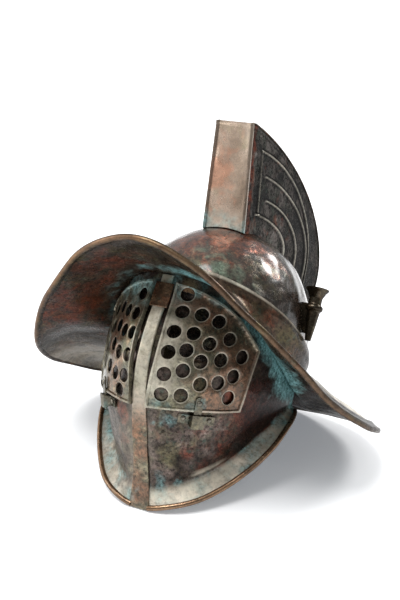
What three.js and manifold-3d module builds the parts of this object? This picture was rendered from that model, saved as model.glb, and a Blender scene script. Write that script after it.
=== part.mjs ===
// Broad-brimmed copper-alloy helmet with a hollow crest, pierced eye plates and two plume holders.
// Millimetres. Shapes are worked out in the worn frame: x to the wearer's left, y to the back,
// z up, origin at the centre of the bowl. The whole is then tipped back onto the floor.
import * as THREE from "three";
import Module from "manifold-3d";

const wasm = await Module();
wasm.setup();

// Driving dimensions
const SHEET = 1.6;
const GAP = 0.3;
const BOWL = { side: 99, length: 115, height: 106 };
const COLLAR_RISE = 5;
const COLLAR_DROP = 5;
const BRIM_ROLL = 3.0;
const VISOR_ROLL = 2.6;
const VISOR_BACK = -5;
const VISOR_SPAN = [0.4, 102];
const GRILLE_LIFT = 2.4;
const PROW = { depth: 18, round: 10, length: 42, setBack: 10, low: -150, full: -10, fade: -5, high: 95 };
const FRAME = { across: 0.045, up: 0.03, height: 1.2, lip: 3.2 };
const HOLE_RADIUS = 7.2;
const BAND = { tuck: 15, lift: 1.2 };
const CLIP = { half: 8.8, bottom: 15, top: 38, bow: 0.006 };
const CREST = {
  halfBase: 24.6, lean: 0.026, baseHeight: 103, frontFoot: -23, frontTop: -37.5, top: 215.5, spans: 16,
  end: 0.97, bow: 1.6,
};
const CREST_ARC = { y: -73, z: 77, length: 301, height: 139, power: 1.85 };
const CREST_TAIL = { y: 112, z: 5 };
const CREST_RIB = { half: 0.018, height: 1.7 };
const BRIM_ROOT = 0.55;
const BRIM_SWELL = { height: 16, from: 50, full: 70, fade: 100, to: 135 };
const REST_TILT = 21.1;

// Brim by angle from the front: rim radius and height, root radius and height, collar height
const BRIM_ROWS = [
  { angle: 0, rim: 211, rimZ: 73, root: 131, rootZ: 48, collar: 52 },
  { angle: 15, rim: 207, rimZ: 58, root: 128, rootZ: 46, collar: 50 },
  { angle: 30, rim: 197.5, rimZ: 23, root: 123, rootZ: 33, collar: 44 },
  { angle: 46, rim: 191, rimZ: -13, root: 118, rootZ: 5, collar: 34 },
  { angle: 62, rim: 188, rimZ: -47, root: 109, rootZ: -22, collar: 21 },
  { angle: 80, rim: 187.5, rimZ: -68, root: 103.5, rootZ: -46, collar: 4 },
  { angle: 95, rim: 187, rimZ: -76.5, root: 103, rootZ: -58, collar: -9 },
  { angle: 110, rim: 185, rimZ: -82.5, root: 106, rootZ: -66, collar: -20 },
  { angle: 125, rim: 175, rimZ: -83.5, root: 110, rootZ: -70, collar: -30 },
  { angle: 140, rim: 159, rimZ: -84, root: 115, rootZ: -73, collar: -37 },
  { angle: 160, rim: 144, rimZ: -86.4, root: 119, rootZ: -76, collar: -42 },
  { angle: 180, rim: 139, rimZ: -84.5, root: 120, rootZ: -76, collar: -44 },
];

// Cheek plates by height: reach forward at the middle, half width at the side
const VISOR_ROWS = [
  { height: -195, front: 108, side: 48 },
  { height: -187, front: 111, side: 52 },
  { height: -160, front: 120, side: 62 },
  { height: -125, front: 133, side: 77 },
  { height: -88, front: 145, side: 90 },
  { height: -60, front: 150, side: 95 },
  { height: -30, front: 149, side: 96 },
  { height: 0, front: 141, side: 95 },
  { height: 20, front: 134, side: 94 },
  { height: 45, front: 129, side: 92 },
  { height: 60, front: 127, side: 91 },
];

// Cheek plate edges by turn from the middle: top, crease of the flange, lower rim, flare
const VISOR_EDGES = [
  { turn: 0, top: 52, crease: -160, rim: -185.5, flare: 3 },
  { turn: 20, top: 50, crease: -157, rim: -179.5, flare: 9 },
  { turn: 40, top: 38, crease: -147.5, rim: -168.5, flare: 16 },
  { turn: 55, top: 14, crease: -134, rim: -152, flare: 19 },
  { turn: 67, top: -8, crease: -117, rim: -131, flare: 20 },
  { turn: 76, top: -25, crease: -99, rim: -110, flare: 19 },
  { turn: 85, top: -38, crease: -81, rim: -90, flare: 14 },
  { turn: 95, top: -47, crease: -71, rim: -80, flare: 8 },
  { turn: 102, top: -52, crease: -66, rim: -75, flare: 4 },
];

// Eye plate edges by turn: top and bottom
const GRILLE_EDGES = [
  { turn: 0, top: 40, bottom: -82 },
  { turn: 21.5, top: 34, bottom: -80 },
  { turn: 41, top: 17, bottom: -78 },
  { turn: 55, top: -8, bottom: -75.5 },
  { turn: 60, top: -21, bottom: -74.5 },
];
const GRILLE_INNER = { bottom: 4.4, top: 6.3, settled: 0.5 };
const GRILLE_OUTER = { bottom: 54, top: 58 };
const WINDOW = { inner: 10, outer: 46.5, bottom: -33, inset: 5 };

// Strip over the joint: half width by height
const BAND_ROWS = [
  { height: -187, half: 11 },
  { height: -165, half: 9.2 },
  { height: -140, half: 8.3 },
  { height: -110, half: 8.1 },
  { height: -80, half: 7.6 },
  { height: 40, half: 7.5 },
];

// Round holes of the eye plates: turn from the middle and height
const HOLES_LEFT = [
  { turn: 13.5, height: 29.4 }, { turn: 13.3, height: 12.1 }, { turn: 23.4, height: 12.3 },
  { turn: 32.9, height: 8.2 }, { turn: 12.2, height: -7.4 }, { turn: 21.9, height: -6.3 },
  { turn: 30.9, height: -13.9 }, { turn: 40.4, height: -6.9 }, { turn: 12, height: -26.9 },
  { turn: 20.5, height: -22.8 }, { turn: 28.6, height: -31.5 }, { turn: 38.3, height: -27.5 },
  { turn: 49, height: -22.4 }, { turn: 12.1, height: -47.6 }, { turn: 20.9, height: -42 },
  { turn: 30.4, height: -52.6 }, { turn: 39.2, height: -49.3 }, { turn: 46.4, height: -41.6 },
  { turn: 12.1, height: -67 }, { turn: 22.1, height: -65.5 }, { turn: 46, height: -62.6 },
];
const HOLES_RIGHT = [
  { turn: 14.3, height: 22.5 }, { turn: 14.4, height: 2.8 }, { turn: 22.8, height: 4.4 },
  { turn: 31.4, height: 6.4 }, { turn: 41, height: 1.5 }, { turn: 12, height: -15.6 },
  { turn: 20.4, height: -15.3 }, { turn: 28.6, height: -12.4 }, { turn: 37.6, height: -15 },
  { turn: 47.5, height: -13 }, { turn: 11.6, height: -36.7 }, { turn: 20.7, height: -36.5 },
  { turn: 29.2, height: -31.2 }, { turn: 39.4, height: -33.5 }, { turn: 49.6, height: -30.5 },
  { turn: 11.7, height: -56.6 }, { turn: 20.6, height: -57 }, { turn: 30, height: -53 },
  { turn: 40.3, height: -51 }, { turn: 15.2, height: -71.6 }, { turn: 47.8, height: -61.5 },
];

// Staple, tongue and their rivets on the cheek plate: turn and height
const STAPLE = { from: 22.6, to: 42.2, raiseFrom: 28.8, raiseTo: 36, top: -81.5, bottom: -94, lift: 7.0 };
const TONGUE = { turn: 31.6, halfWidth: 1.9, top: -64.5, bottom: -95.5, lift: 5.3 };
const RIVETS = [
  { name: "staple_rivet_inner", turn: 25.4, height: -87, lift: 2.2, radius: 2.5 },
  { name: "staple_rivet_outer", turn: 39.4, height: -87, lift: 2.2, radius: 2.5 },
  { name: "tongue_rivet", turn: 31.6, height: -70, lift: 7.1, radius: 2.6 },
];

// Plume holder along its axis from the tip: outer and inner radius
const PLUME_ROWS = [
  { along: 0, outer: 3.2, inner: 0 },
  { along: 16, outer: 5.4, inner: 3.6 },
  { along: 31, outer: 7.0, inner: 5.2 },
  { along: 33, outer: 9.2, inner: 5.4 },
  { along: 37, outer: 9.2, inner: 5.6 },
  { along: 39, outer: 7.0, inner: 5.6 },
  { along: 46, outer: 7.2, inner: 5.6 },
  { along: 52, outer: 10.6, inner: 8.2 },
  { along: 56, outer: 12.6, inner: 11.0 },
];
const PLUME_TIP = new THREE.Vector3(106.4, -3, 1);
const PLUME_LUG = { height: 24, back: 1.5, half: 3.2, deep: 12 };
const PLUME_MOUTH = new THREE.Vector3(104.4, 7.5, 54);

const rad = THREE.MathUtils.degToRad;
const v3 = (x, y, z) => new THREE.Vector3(x, y, z);

// Smooth value of one column of a table at t, level at both ends if flat
function curve(rows, key, column, t, flat = false) {
  const last = rows.length - 1;
  const x = Math.min(Math.max(t, rows[0][key]), rows[last][key]);
  let i = 0;
  while (i < last - 1 && rows[i + 1][key] <= x) i += 1;
  const slope = (k) => {
    if (flat && (k === 0 || k === last)) return 0;
    const a = Math.max(k - 1, 0);
    const b = Math.min(k + 1, last);
    return (rows[b][column] - rows[a][column]) / (rows[b][key] - rows[a][key]);
  };
  const h = rows[i + 1][key] - rows[i][key];
  const s = (x - rows[i][key]) / h;
  const near = (2 * s ** 3 - 3 * s * s + 1) * rows[i][column] + (s ** 3 - 2 * s * s + s) * h * slope(i);
  const far = (3 * s * s - 2 * s ** 3) * rows[i + 1][column] + (s ** 3 - s * s) * h * slope(i + 1);
  return near + far;
}

const steps = (from, to, count) => Array.from(
  { length: count + 1 },
  (_, i) => from + ((to - from) * i) / count,
);
const smooth = (from, to, x) => {
  const s = Math.min(Math.max((x - from) / (to - from), 0), 1);
  return s * s * (3 - 2 * s);
};

function solid(points, triangles) {
  const vertProperties = new Float32Array(points.flatMap((p) => [p.x, p.y, p.z]));
  const mesh = new wasm.Mesh({ numProp: 3, vertProperties, triVerts: new Uint32Array(triangles.flat()) });
  return new wasm.Manifold(mesh);
}

function gridNormals(grid, wrap) {
  const n = grid.length;
  return grid.map((row, i) => row.map((p, j) => {
    const a = grid[wrap ? (i + n - 1) % n : Math.max(i - 1, 0)][j];
    const b = grid[wrap ? (i + 1) % n : Math.min(i + 1, n - 1)][j];
    const c = row[Math.max(j - 1, 0)];
    const d = row[Math.min(j + 1, row.length - 1)];
    return b.clone().sub(a).cross(d.clone().sub(c)).normalize();
  }));
}

// A closed sheet between the grid moved out by "above" and moved in by "below"
function sheet(grid, { above = 0, below = SHEET, wrap = false, pole = null } = {}) {
  const normals = gridNormals(grid, wrap);
  const n = grid.length;
  const m = grid[0].length;
  const points = [];
  for (const shift of [above, -below]) {
    grid.forEach((row, i) => row.forEach((p, j) => {
      points.push(p.clone().addScaledVector(normals[i][j], shift));
    }));
  }
  const at = (side, i, j) => side * n * m + (i % n) * m + j;
  const triangles = [];
  const quad = (a, b, c, d) => triangles.push([a, b, c], [a, c, d]);
  const spans = wrap ? n : n - 1;
  for (let i = 0; i < spans; i += 1) {
    for (let j = 0; j < m - 1; j += 1) {
      quad(at(0, i, j), at(0, i + 1, j), at(0, i + 1, j + 1), at(0, i, j + 1));
      quad(at(1, i, j), at(1, i, j + 1), at(1, i + 1, j + 1), at(1, i + 1, j));
    }
    quad(at(1, i, 0), at(1, i + 1, 0), at(0, i + 1, 0), at(0, i, 0));
    if (!pole) quad(at(1, i + 1, m - 1), at(1, i, m - 1), at(0, i, m - 1), at(0, i + 1, m - 1));
  }
  if (!wrap) {
    for (let j = 0; j < m - 1; j += 1) {
      quad(at(0, 0, j), at(0, 0, j + 1), at(1, 0, j + 1), at(1, 0, j));
      quad(at(0, n - 1, j + 1), at(0, n - 1, j), at(1, n - 1, j), at(1, n - 1, j + 1));
    }
  }
  if (pole) {
    points.push(pole.clone().add(v3(0, 0, above)), pole.clone().add(v3(0, 0, -below)));
    for (let i = 0; i < n; i += 1) {
      triangles.push([at(0, i, m - 1), at(0, i + 1, m - 1), points.length - 2]);
      triangles.push([at(1, i + 1, m - 1), at(1, i, m - 1), points.length - 1]);
    }
  }
  return solid(points, triangles);
}

// A section of (across, out) pairs carried along a path with its own outward directions
function sweep(path, outs, section, closed = false) {
  const n = path.length;
  const m = section.length;
  const points = [];
  path.forEach((p, i) => {
    const a = path[closed ? (i + n - 1) % n : Math.max(i - 1, 0)];
    const b = path[closed ? (i + 1) % n : Math.min(i + 1, n - 1)];
    const along = b.clone().sub(a).normalize();
    const across = along.clone().cross(outs[i]).normalize();
    const out = across.clone().cross(along);
    section.forEach(([x, y]) => points.push(p.clone().addScaledVector(across, x).addScaledVector(out, y)));
  });
  const triangles = [];
  const at = (i, k) => (i % n) * m + (k % m);
  for (let i = 0; i < (closed ? n : n - 1); i += 1) {
    for (let k = 0; k < m; k += 1) {
      triangles.push([at(i, k), at(i, k + 1), at(i + 1, k + 1)], [at(i, k), at(i + 1, k + 1), at(i + 1, k)]);
    }
  }
  if (!closed) {
    for (let k = 1; k < m - 1; k += 1) {
      triangles.push([at(0, 0), at(0, k + 1), at(0, k)], [at(n - 1, 0), at(n - 1, k), at(n - 1, k + 1)]);
    }
  }
  return solid(points, triangles);
}

const circle = (radius, count) => steps(0, 360, count).slice(0, -1)
  .map((a) => [-radius * Math.cos(rad(a)), radius * Math.sin(rad(a))]);

// Bowl
const bowlRadius = (angle) => 1 / Math.hypot(Math.sin(angle) / BOWL.side, Math.cos(angle) / BOWL.length);
const bowlAt = (angle, z) => bowlRadius(angle) * Math.sqrt(1 - (Math.max(z, 0) / BOWL.height) ** 2);
const polar = (angle, r, z) => v3(r * Math.sin(angle), -r * Math.cos(angle), z);
const folded = (degrees) => Math.abs(degrees > 180 ? degrees - 360 : degrees);

const bowlAngles = steps(0, 360, 40).slice(0, -1);
const bowlGrid = bowlAngles.map((degrees) => {
  const base = curve(BRIM_ROWS, "angle", "collar", folded(degrees), true) - 12;
  const from = Math.asin(Math.max(base, 0) / BOWL.height);
  const low = base < 0 ? [base] : [];
  const heights = low.concat(steps(from, rad(84), low.length ? 5 : 6).map((a) => BOWL.height * Math.sin(a)));
  return heights.map((z) => polar(rad(degrees), bowlAt(rad(degrees), z), z));
});
const skull = sheet(bowlGrid, { wrap: true, pole: v3(0, 0, BOWL.height) });

// Brim: the section runs from the rim over the root up to the collar
const brimAngles = steps(0, 360, 40).slice(0, -1);
const brimValues = (degrees) => {
  const a = folded(degrees);
  const of = (column) => curve(BRIM_ROWS, "angle", column, a, true);
  const clear = GAP + SHEET;
  const low = of("collar") - COLLAR_DROP;
  const high = of("collar") + COLLAR_RISE;
  return [
    { t: 0, r: of("rim"), z: of("rimZ") },
    { t: BRIM_ROOT, r: of("root"), z: of("rootZ") },
    { t: 0.9, r: bowlAt(rad(a), low) + clear + 1.4, z: low },
    { t: 1, r: bowlAt(rad(a), high) + clear, z: high },
  ];
};
const brimSwell = (degrees, t) => {
  const { height, from, full, fade, to } = BRIM_SWELL;
  const a = folded(degrees);
  const s = Math.min(t / BRIM_ROOT, 1);
  return height * smooth(from, full, a) * smooth(to, fade, a) * 4 * s * (1 - s);
};
const brimPoint = (degrees, t) => {
  const values = brimValues(degrees);
  const z = curve(values, "t", "z", t) + brimSwell(degrees, t);
  return polar(rad(degrees), curve(values, "t", "r", t), z);
};
const brimStops = [0, 0.18, 0.36, 0.52, 0.66, 0.8, 0.9, 1];
const brimGrid = brimAngles.map((degrees) => brimStops.map((t) => brimPoint(degrees, t)));
const brim = sheet(brimGrid, { wrap: true });
const brimCutter = sheet(brimGrid, { wrap: true, above: 16, below: SHEET + GAP + 0.1 });
const brimRoll = (() => {
  const path = brimAngles.map((degrees) => {
    const rim = brimPoint(degrees, 0);
    const out = rim.clone().sub(brimPoint(degrees, 0.1)).normalize();
    return rim.addScaledVector(out, BRIM_ROLL + GAP);
  });
  return sweep(path, path.map(() => v3(0, 0, 1)), circle(BRIM_ROLL, 6), true);
})();

// Cheek plates: half an oval at each height, drawn forward to a rounded prow at the middle
const prowShare = (z) => smooth(PROW.low, PROW.full, z) * smooth(PROW.high, PROW.fade, z);
const prow = (x) => PROW.depth * Math.exp((PROW.round - Math.hypot(x, PROW.round)) / PROW.length);
const visorPoint = (turn, z, lift = 0) => {
  const share = prowShare(z);
  const front = curve(VISOR_ROWS, "height", "front", z) + VISOR_BACK - PROW.setBack * share;
  const side = curve(VISOR_ROWS, "height", "side", z);
  const a = rad(turn);
  const out = v3(Math.sin(a) / side, -Math.cos(a) / front, 0).normalize();
  const x = side * Math.sin(a);
  return v3(x, VISOR_BACK - front * Math.cos(a) - share * prow(x), z).addScaledVector(out, lift);
};
const visorNormal = (turn, z) => {
  const a = visorPoint(turn + 0.5, z).sub(visorPoint(turn - 0.5, z));
  return a.cross(visorPoint(turn, z + 0.5).sub(visorPoint(turn, z - 0.5))).normalize();
};
const visorOff = (turn, z, lift) => visorPoint(turn, z).addScaledVector(visorNormal(turn, z), lift);
const edge = (column, turn) => curve(VISOR_EDGES, "turn", column, Math.abs(turn));
const flangePoint = (turn, s) => {
  const z = edge("crease", turn) + (edge("rim", turn) - edge("crease", turn)) * s;
  return visorPoint(turn, z, edge("flare", turn) * s * s);
};
const sided = (side, [from, to], count) => steps(side > 0 ? from : -to, side > 0 ? to : -from, count);
const grilleGrid = (side, us, vs) => {
  const columns = side > 0 ? us : us.slice().reverse();
  return columns.map((u) => vs.map((v) => {
    const outer = GRILLE_OUTER.bottom + (GRILLE_OUTER.top - GRILLE_OUTER.bottom) * v;
    const settle = smooth(0, GRILLE_INNER.settled, v);
    const inner = GRILLE_INNER.bottom + (GRILLE_INNER.top - GRILLE_INNER.bottom) * settle;
    const turn = inner + (outer - inner) * u;
    const low = curve(GRILLE_EDGES, "turn", "bottom", turn);
    const high = curve(GRILLE_EDGES, "turn", "top", turn);
    const rim = Math.min(u, 1 - u) < FRAME.across || Math.min(v, 1 - v) < FRAME.up;
    const raise = u < FRAME.across ? FRAME.lip : rim * FRAME.height;
    return visorOff(side * turn, low + (high - low) * v, GRILLE_LIFT + SHEET + raise);
  }));
};

function visorPlate(side) {
  const grid = sided(side, VISOR_SPAN, 15).map((turn) => {
    const flange = [1, 0.5].map((s) => flangePoint(turn, s));
    const plate = steps(edge("crease", turn), edge("top", turn), 6).map((z) => visorPoint(turn, z));
    return flange.concat(plate);
  });
  const opening = sheet(sided(side, [WINDOW.inner, WINDOW.outer], 5).map((turn) => {
    const high = curve(GRILLE_EDGES, "turn", "top", Math.abs(turn)) - WINDOW.inset;
    return steps(WINDOW.bottom, high, 3).map((z) => visorPoint(turn, z));
  }), { above: 8, below: 12 });
  return sheet(grid).subtract(opening).subtract(brimCutter);
}

function visorRoll(side) {
  const turns = sided(side, [12, 101.5], 18);
  const path = turns.map((turn) => {
    const rim = flangePoint(turn, 1);
    const out = rim.clone().sub(flangePoint(turn, 0.9)).normalize();
    return rim.addScaledVector(out, VISOR_ROLL + GAP);
  });
  return sweep(path, turns.map((turn) => visorNormal(turn, edge("rim", turn))), circle(VISOR_ROLL, 6));
}

function grille(side) {
  const stops = (rim, between) => {
    const ends = [0, rim * 0.7, rim * 1.2];
    return [...ends, ...between, ...ends.map((e) => 1 - e).reverse()];
  };
  const us = stops(FRAME.across, [0.25, 0.5, 0.75]);
  const vs = stops(FRAME.up, [0.35, 0.65]);
  let body = sheet(grilleGrid(side, us, vs));
  for (const hole of side > 0 ? HOLES_LEFT : HOLES_RIGHT) {
    const turn = side * hole.turn;
    const middle = visorPoint(turn, hole.height);
    const out = visorNormal(turn, hole.height);
    const ends = [middle.clone().addScaledVector(out, -6), middle.clone().addScaledVector(out, 9)];
    body = body.subtract(sweep(ends, [v3(0, 0, 1), v3(0, 0, 1)], circle(HOLE_RADIUS, 8)));
  }
  return body;
}

// Strip over the joint, folded under at the chin
const bandPath = (() => {
  const clear = BAND.lift + SHEET;
  const foot = flangePoint(0, 1);
  const back = v3(0, foot.y + SHEET + GAP * 2 + SHEET, foot.z + BAND.tuck);
  const front = steps(VISOR_EDGES[0].crease, VISOR_EDGES[0].top - 2, 14).map((z) => visorPoint(0, z, clear));
  return [
    back,
    v3(0, foot.y + 2.4 * SHEET, foot.z + 1),
    v3(0, foot.y + SHEET, foot.z - 2.7),
    v3(0, foot.y - 2 * SHEET, foot.z - 2.9),
    flangePoint(0, 0.9).add(v3(0, -clear - 1.2, 0)),
    flangePoint(0, 0.5).add(v3(0, -clear - 0.8, 0)),
    ...front,
  ];
})();
const bandGrid = [-1, -0.35, 0.35, 1].map((u) => bandPath
  .map((p) => v3(u * curve(BAND_ROWS, "height", "half", p.z), p.y, p.z)));
const centreBand = sheet(bandGrid, { below: SHEET * 0.9 }).subtract(brimCutter);
const clipGrid = steps(-CLIP.half, CLIP.half, 4).map((x) => steps(CLIP.bottom, CLIP.top, 3).map((z) => {
  const p = visorPoint(0, z, BAND.lift + GAP + 2 * SHEET);
  return v3(x, p.y + CLIP.bow * x * x, p.z);
}));
const bandClip = sheet(clipGrid, { below: 1.2 }).subtract(brimCutter);

// Staple, tongue and rivets
function staple(side) {
  const step = 0.6;
  const turns = [STAPLE.from, 26, STAPLE.raiseFrom - step, STAPLE.raiseFrom + step, 32.4,
    STAPLE.raiseTo - step, STAPLE.raiseTo + step, 39, STAPLE.to];
  const ordered = side > 0 ? turns : turns.slice().reverse();
  const grid = ordered.map((turn) => {
    const raised = turn > STAPLE.raiseFrom && turn < STAPLE.raiseTo;
    const trim = raised ? 0 : 2;
    return [STAPLE.bottom + trim, STAPLE.top - trim]
      .map((z) => visorOff(side * turn, z, raised ? STAPLE.lift + SHEET : GAP + SHEET));
  });
  return sheet(grid, { below: SHEET * 0.85 });
}

function tongue(side) {
  const turns = sided(side, [TONGUE.turn - TONGUE.halfWidth, TONGUE.turn + TONGUE.halfWidth], 2);
  const grid = turns.map((turn) => steps(TONGUE.bottom, TONGUE.top, 4)
    .map((z) => visorOff(turn, z, TONGUE.lift + 1.3)));
  return sheet(grid, { below: 1.2 });
}

function rivet(side, { turn, height, lift, radius }) {
  const base = visorOff(side * turn, height, lift + 0.1);
  const out = visorNormal(side * turn, height);
  const path = [0, 0.55, 0.9].map((a) => base.clone().addScaledVector(out, a * radius * 0.6));
  const sizes = [1, 0.85, 0.42];
  const points = [];
  const across = v3(0, 0, 1).cross(out).normalize();
  const up = out.clone().cross(across);
  path.forEach((p, i) => circle(radius * sizes[i], 8).forEach(([x, y]) => {
    points.push(p.clone().addScaledVector(across, -x).addScaledVector(up, y));
  }));
  const triangles = [];
  for (let i = 0; i < 2; i += 1) {
    for (let k = 0; k < 8; k += 1) {
      const a = i * 8 + k;
      const b = i * 8 + ((k + 1) % 8);
      triangles.push([a, b, b + 8], [a, b + 8, a + 8]);
    }
  }
  for (let k = 1; k < 7; k += 1) triangles.push([0, k + 1, k], [16, 16 + k, 17 + k]);
  return solid(points, triangles);
}

// A solid through a stack of rings
function plug(rings) {
  const count = rings[0].length;
  const triangles = [];
  for (let i = 0; i < rings.length - 1; i += 1) {
    for (let k = 0; k < count; k += 1) {
      const a = i * count + k;
      const b = i * count + ((k + 1) % count);
      triangles.push([a, b, b + count], [a, b + count, a + count]);
    }
  }
  const end = (rings.length - 1) * count;
  for (let k = 1; k < count - 1; k += 1) triangles.push([0, k + 1, k], [end, end + k, end + k + 1]);
  return solid(rings.flat(), triangles);
}

// Plume holder: a flared socket with a ring, closed at the tip, on a lug against the bowl
function plumeHolder(side) {
  const flip = (p) => v3(p.x * side, p.y, p.z);
  const tip = flip(PLUME_TIP);
  const axis = flip(PLUME_MOUTH).sub(tip).normalize();
  const across = v3(0, 1, 0).cross(axis).normalize();
  const other = axis.clone().cross(across);
  const ring = (along, radius) => steps(0, 360, 10).slice(0, -1).map((a) => tip.clone()
    .addScaledVector(axis, along)
    .addScaledVector(across, radius * Math.cos(rad(a)))
    .addScaledVector(other, radius * Math.sin(rad(a))));
  const outer = PLUME_ROWS.map((row) => ring(row.along, row.outer));
  const inner = PLUME_ROWS.slice(1).reverse().map((row) => ring(row.along, row.inner));
  const socket = plug(outer.concat(inner));
  const from = BOWL.side * Math.sqrt(1 - (PLUME_LUG.height / BOWL.height) ** 2) + 2 * GAP;
  const ends = [from, from + PLUME_LUG.deep].map((x) => v3(side * x, PLUME_LUG.back, PLUME_LUG.height));
  const half = PLUME_LUG.half;
  const box = [[-half, -half], [-half, half], [half, half], [half, -half]];
  const lug = sweep(ends, [v3(0, 0, 1), v3(0, 0, 1)], box);
  const bore = PLUME_ROWS.slice(1).map((row) => ring(row.along, row.inner));
  return socket.add(lug.subtract(plug(bore)));
}

// Crest: two side sheets, a front sheet and the curved ridge strip
const crestHalf = (z) => CREST.halfBase - CREST.lean * (z - CREST.baseHeight);
const crestFront = (z) => {
  const share = (z - CREST.baseHeight) / (CREST.top - CREST.baseHeight);
  return CREST.frontFoot + (CREST.frontTop - CREST.frontFoot) * share;
};
const crestOuter = (s) => {
  const turnOver = 0.74;
  if (s <= turnOver) {
    const start = Math.acos(((CREST.frontTop - CREST_ARC.y) / CREST_ARC.length) ** (CREST_ARC.power / 2));
    const a = start * (1 - s / turnOver);
    const y = CREST_ARC.y + CREST_ARC.length * Math.cos(a) ** (2 / CREST_ARC.power);
    return { y, z: CREST_ARC.z + CREST_ARC.height * Math.sin(a) ** (2 / CREST_ARC.power) };
  }
  const b = (Math.PI / 2) * ((s - turnOver) / (1 - turnOver));
  const reach = CREST_ARC.y + CREST_ARC.length - CREST_TAIL.y;
  const drop = CREST_ARC.z - CREST_TAIL.z;
  return { y: CREST_TAIL.y + reach * Math.cos(b), z: CREST_ARC.z - drop * Math.sin(b) };
};
const crestFoot = (s) => {
  const half = 26;
  const shrink = Math.sqrt(1 - (half / BOWL.side) ** 2);
  const a = rad(102 - 90 * s);
  const lift = GAP + 0.5;
  return { y: (BOWL.length * shrink + lift) * Math.cos(a), z: (BOWL.height * shrink + lift) * Math.sin(a) };
};
const crestPoint = (side, s, t) => {
  const low = crestFoot(s);
  const high = crestOuter(s);
  const z = low.z + (high.z - low.z) * t;
  const y = low.y + (high.y - low.y) * t;
  const bow = CREST.bow * Math.sin(Math.PI * t) * Math.sin((Math.PI * s) / CREST.end);
  return v3(side * (crestHalf(z) + bow), y, z);
};

// Raised lines on a side sheet: share of the height, and the span they run over
const CREST_RIBS = [
  { from: 0.1, to: 0.8, share: 0.86 },
  { from: 0.13, to: 0.72, share: 0.64 },
  { from: 0.16, to: 0.66, share: 0.42 },
  { from: 0.12, to: 0.58, share: 0.2 },
];

function crestSide(side) {
  const spans = steps(0, CREST.end, CREST.spans);
  const ordered = side > 0 ? spans : spans.slice().reverse();
  const rows = CREST_RIBS.flatMap(({ share }) => [share - CREST_RIB.half, share, share + CREST_RIB.half]);
  rows.push(0, 1);
  rows.sort((a, b) => a - b);
  const raised = (s, t) => CREST_RIBS.some((rib) => rib.share === t && s > rib.from && s < rib.to);
  const grid = ordered.map((s) => rows.map((t) => {
    const point = crestPoint(side, s, t);
    if (raised(s, t)) point.x += side * CREST_RIB.height;
    return point;
  }));
  return sheet(grid);
}

const crestPlate = (() => {
  const grid = steps(-1, 1, 6).map((u) => {
    const x = u * crestHalf(CREST.baseHeight);
    const fall = (x / BOWL.side) ** 2 + (CREST.frontFoot / BOWL.length) ** 2;
    const low = BOWL.height * Math.sqrt(1 - fall) + 3 * GAP;
    return steps(low, CREST.top, 4).map((z) => v3(u * crestHalf(z), crestFront(z) - 2 * GAP - SHEET, z));
  });
  return sheet(grid);
})();

const crestRidge = (() => {
  const spans = steps(0, CREST.end, CREST.spans);
  const grid = [-1, 0, 1].map((u) => spans.map((s) => {
    const { y, z } = crestOuter(s);
    return v3(u * crestHalf(z), y, z);
  }));
  return sheet(grid, { above: GAP + SHEET, below: -GAP });
})();

// Looks of the metal in the plain model
const FINISH = {
  bronze: new THREE.MeshStandardMaterial({ color: 0x5a4438, metalness: 0.9, roughness: 0.4 }),
  copper: new THREE.MeshStandardMaterial({ color: 0xa8683f, metalness: 0.9, roughness: 0.35 }),
  pale: new THREE.MeshStandardMaterial({ color: 0x8d8672, metalness: 0.6, roughness: 0.5 }),
  dark: new THREE.MeshStandardMaterial({ color: 0x3b372c, metalness: 0.8, roughness: 0.5 }),
};

const pieces = [
  ["skull", skull, "bronze"],
  ["brim", brim, "bronze"],
  ["brim_binding", brimRoll, "copper"],
  ["crest_front", crestPlate, "copper"],
  ["crest_ridge", crestRidge, "bronze"],
  ["centre_band", centreBand, "pale"],
  ["band_clip", bandClip, "copper"],
];
for (const [word, side] of [["left", 1], ["right", -1]]) {
  pieces.push(
    [`crest_side_${word}`, crestSide(side), "dark"],
    [`visor_${word}`, visorPlate(side), "bronze"],
    [`visor_binding_${word}`, visorRoll(side), "copper"],
    [`grille_${word}`, grille(side), "pale"],
    [`staple_${word}`, staple(side), "pale"],
    [`tongue_${word}`, tongue(side), "pale"],
    [`plume_holder_${word}`, plumeHolder(side), "dark"],
  );
  for (const row of RIVETS) pieces.push([`${row.name}_${word}`, rivet(side, row), "copper"]);
}

// Tip back, then stand on the floor with the middle of the whole over the origin
const turnBack = new THREE.Matrix4().makeRotationX(-rad(REST_TILT));
const built = pieces.map(([name, body, look]) => {
  const mesh = body.simplify(0.08).getMesh();
  const flat = new Float32Array(mesh.numVert * 3);
  for (let i = 0; i < mesh.numVert; i += 1) {
    const p = v3(...mesh.vertProperties.slice(i * mesh.numProp, i * mesh.numProp + 3)).applyMatrix4(turnBack);
    flat.set([p.x, p.y, p.z], i * 3);
  }
  const geometry = new THREE.BufferGeometry();
  geometry.setAttribute("position", new THREE.BufferAttribute(flat, 3));
  geometry.setIndex(new THREE.BufferAttribute(new Uint32Array(mesh.triVerts), 1));
  return { name, geometry, look };
});
const box = new THREE.Box3();
for (const { geometry } of built) {
  geometry.computeBoundingBox();
  box.union(geometry.boundingBox);
}
const helmet = new THREE.Group();
helmet.name = "helmet";
for (const { name, geometry, look } of built) {
  geometry.translate(0, -(box.min.y + box.max.y) / 2, -box.min.z);
  geometry.computeVertexNormals();
  const mesh = new THREE.Mesh(geometry, FINISH[look]);
  mesh.name = name;
  helmet.add(mesh);
}

export default helmet;
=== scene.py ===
"""Looks of the broad-brimmed helmet: fine sheets worked out with numpy, patinated metal, studio floor.

Shapes are in the worn frame in millimetres (x to the wearer's left, y to the back, z up, origin at
the centre of the bowl). to_row tips them back onto the floor and turns them into metres.
"""

import math
from types import SimpleNamespace as Sizes

import bpy
import numpy as np
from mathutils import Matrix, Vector
from mathutils.geometry import delaunay_2d_cdt


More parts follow.
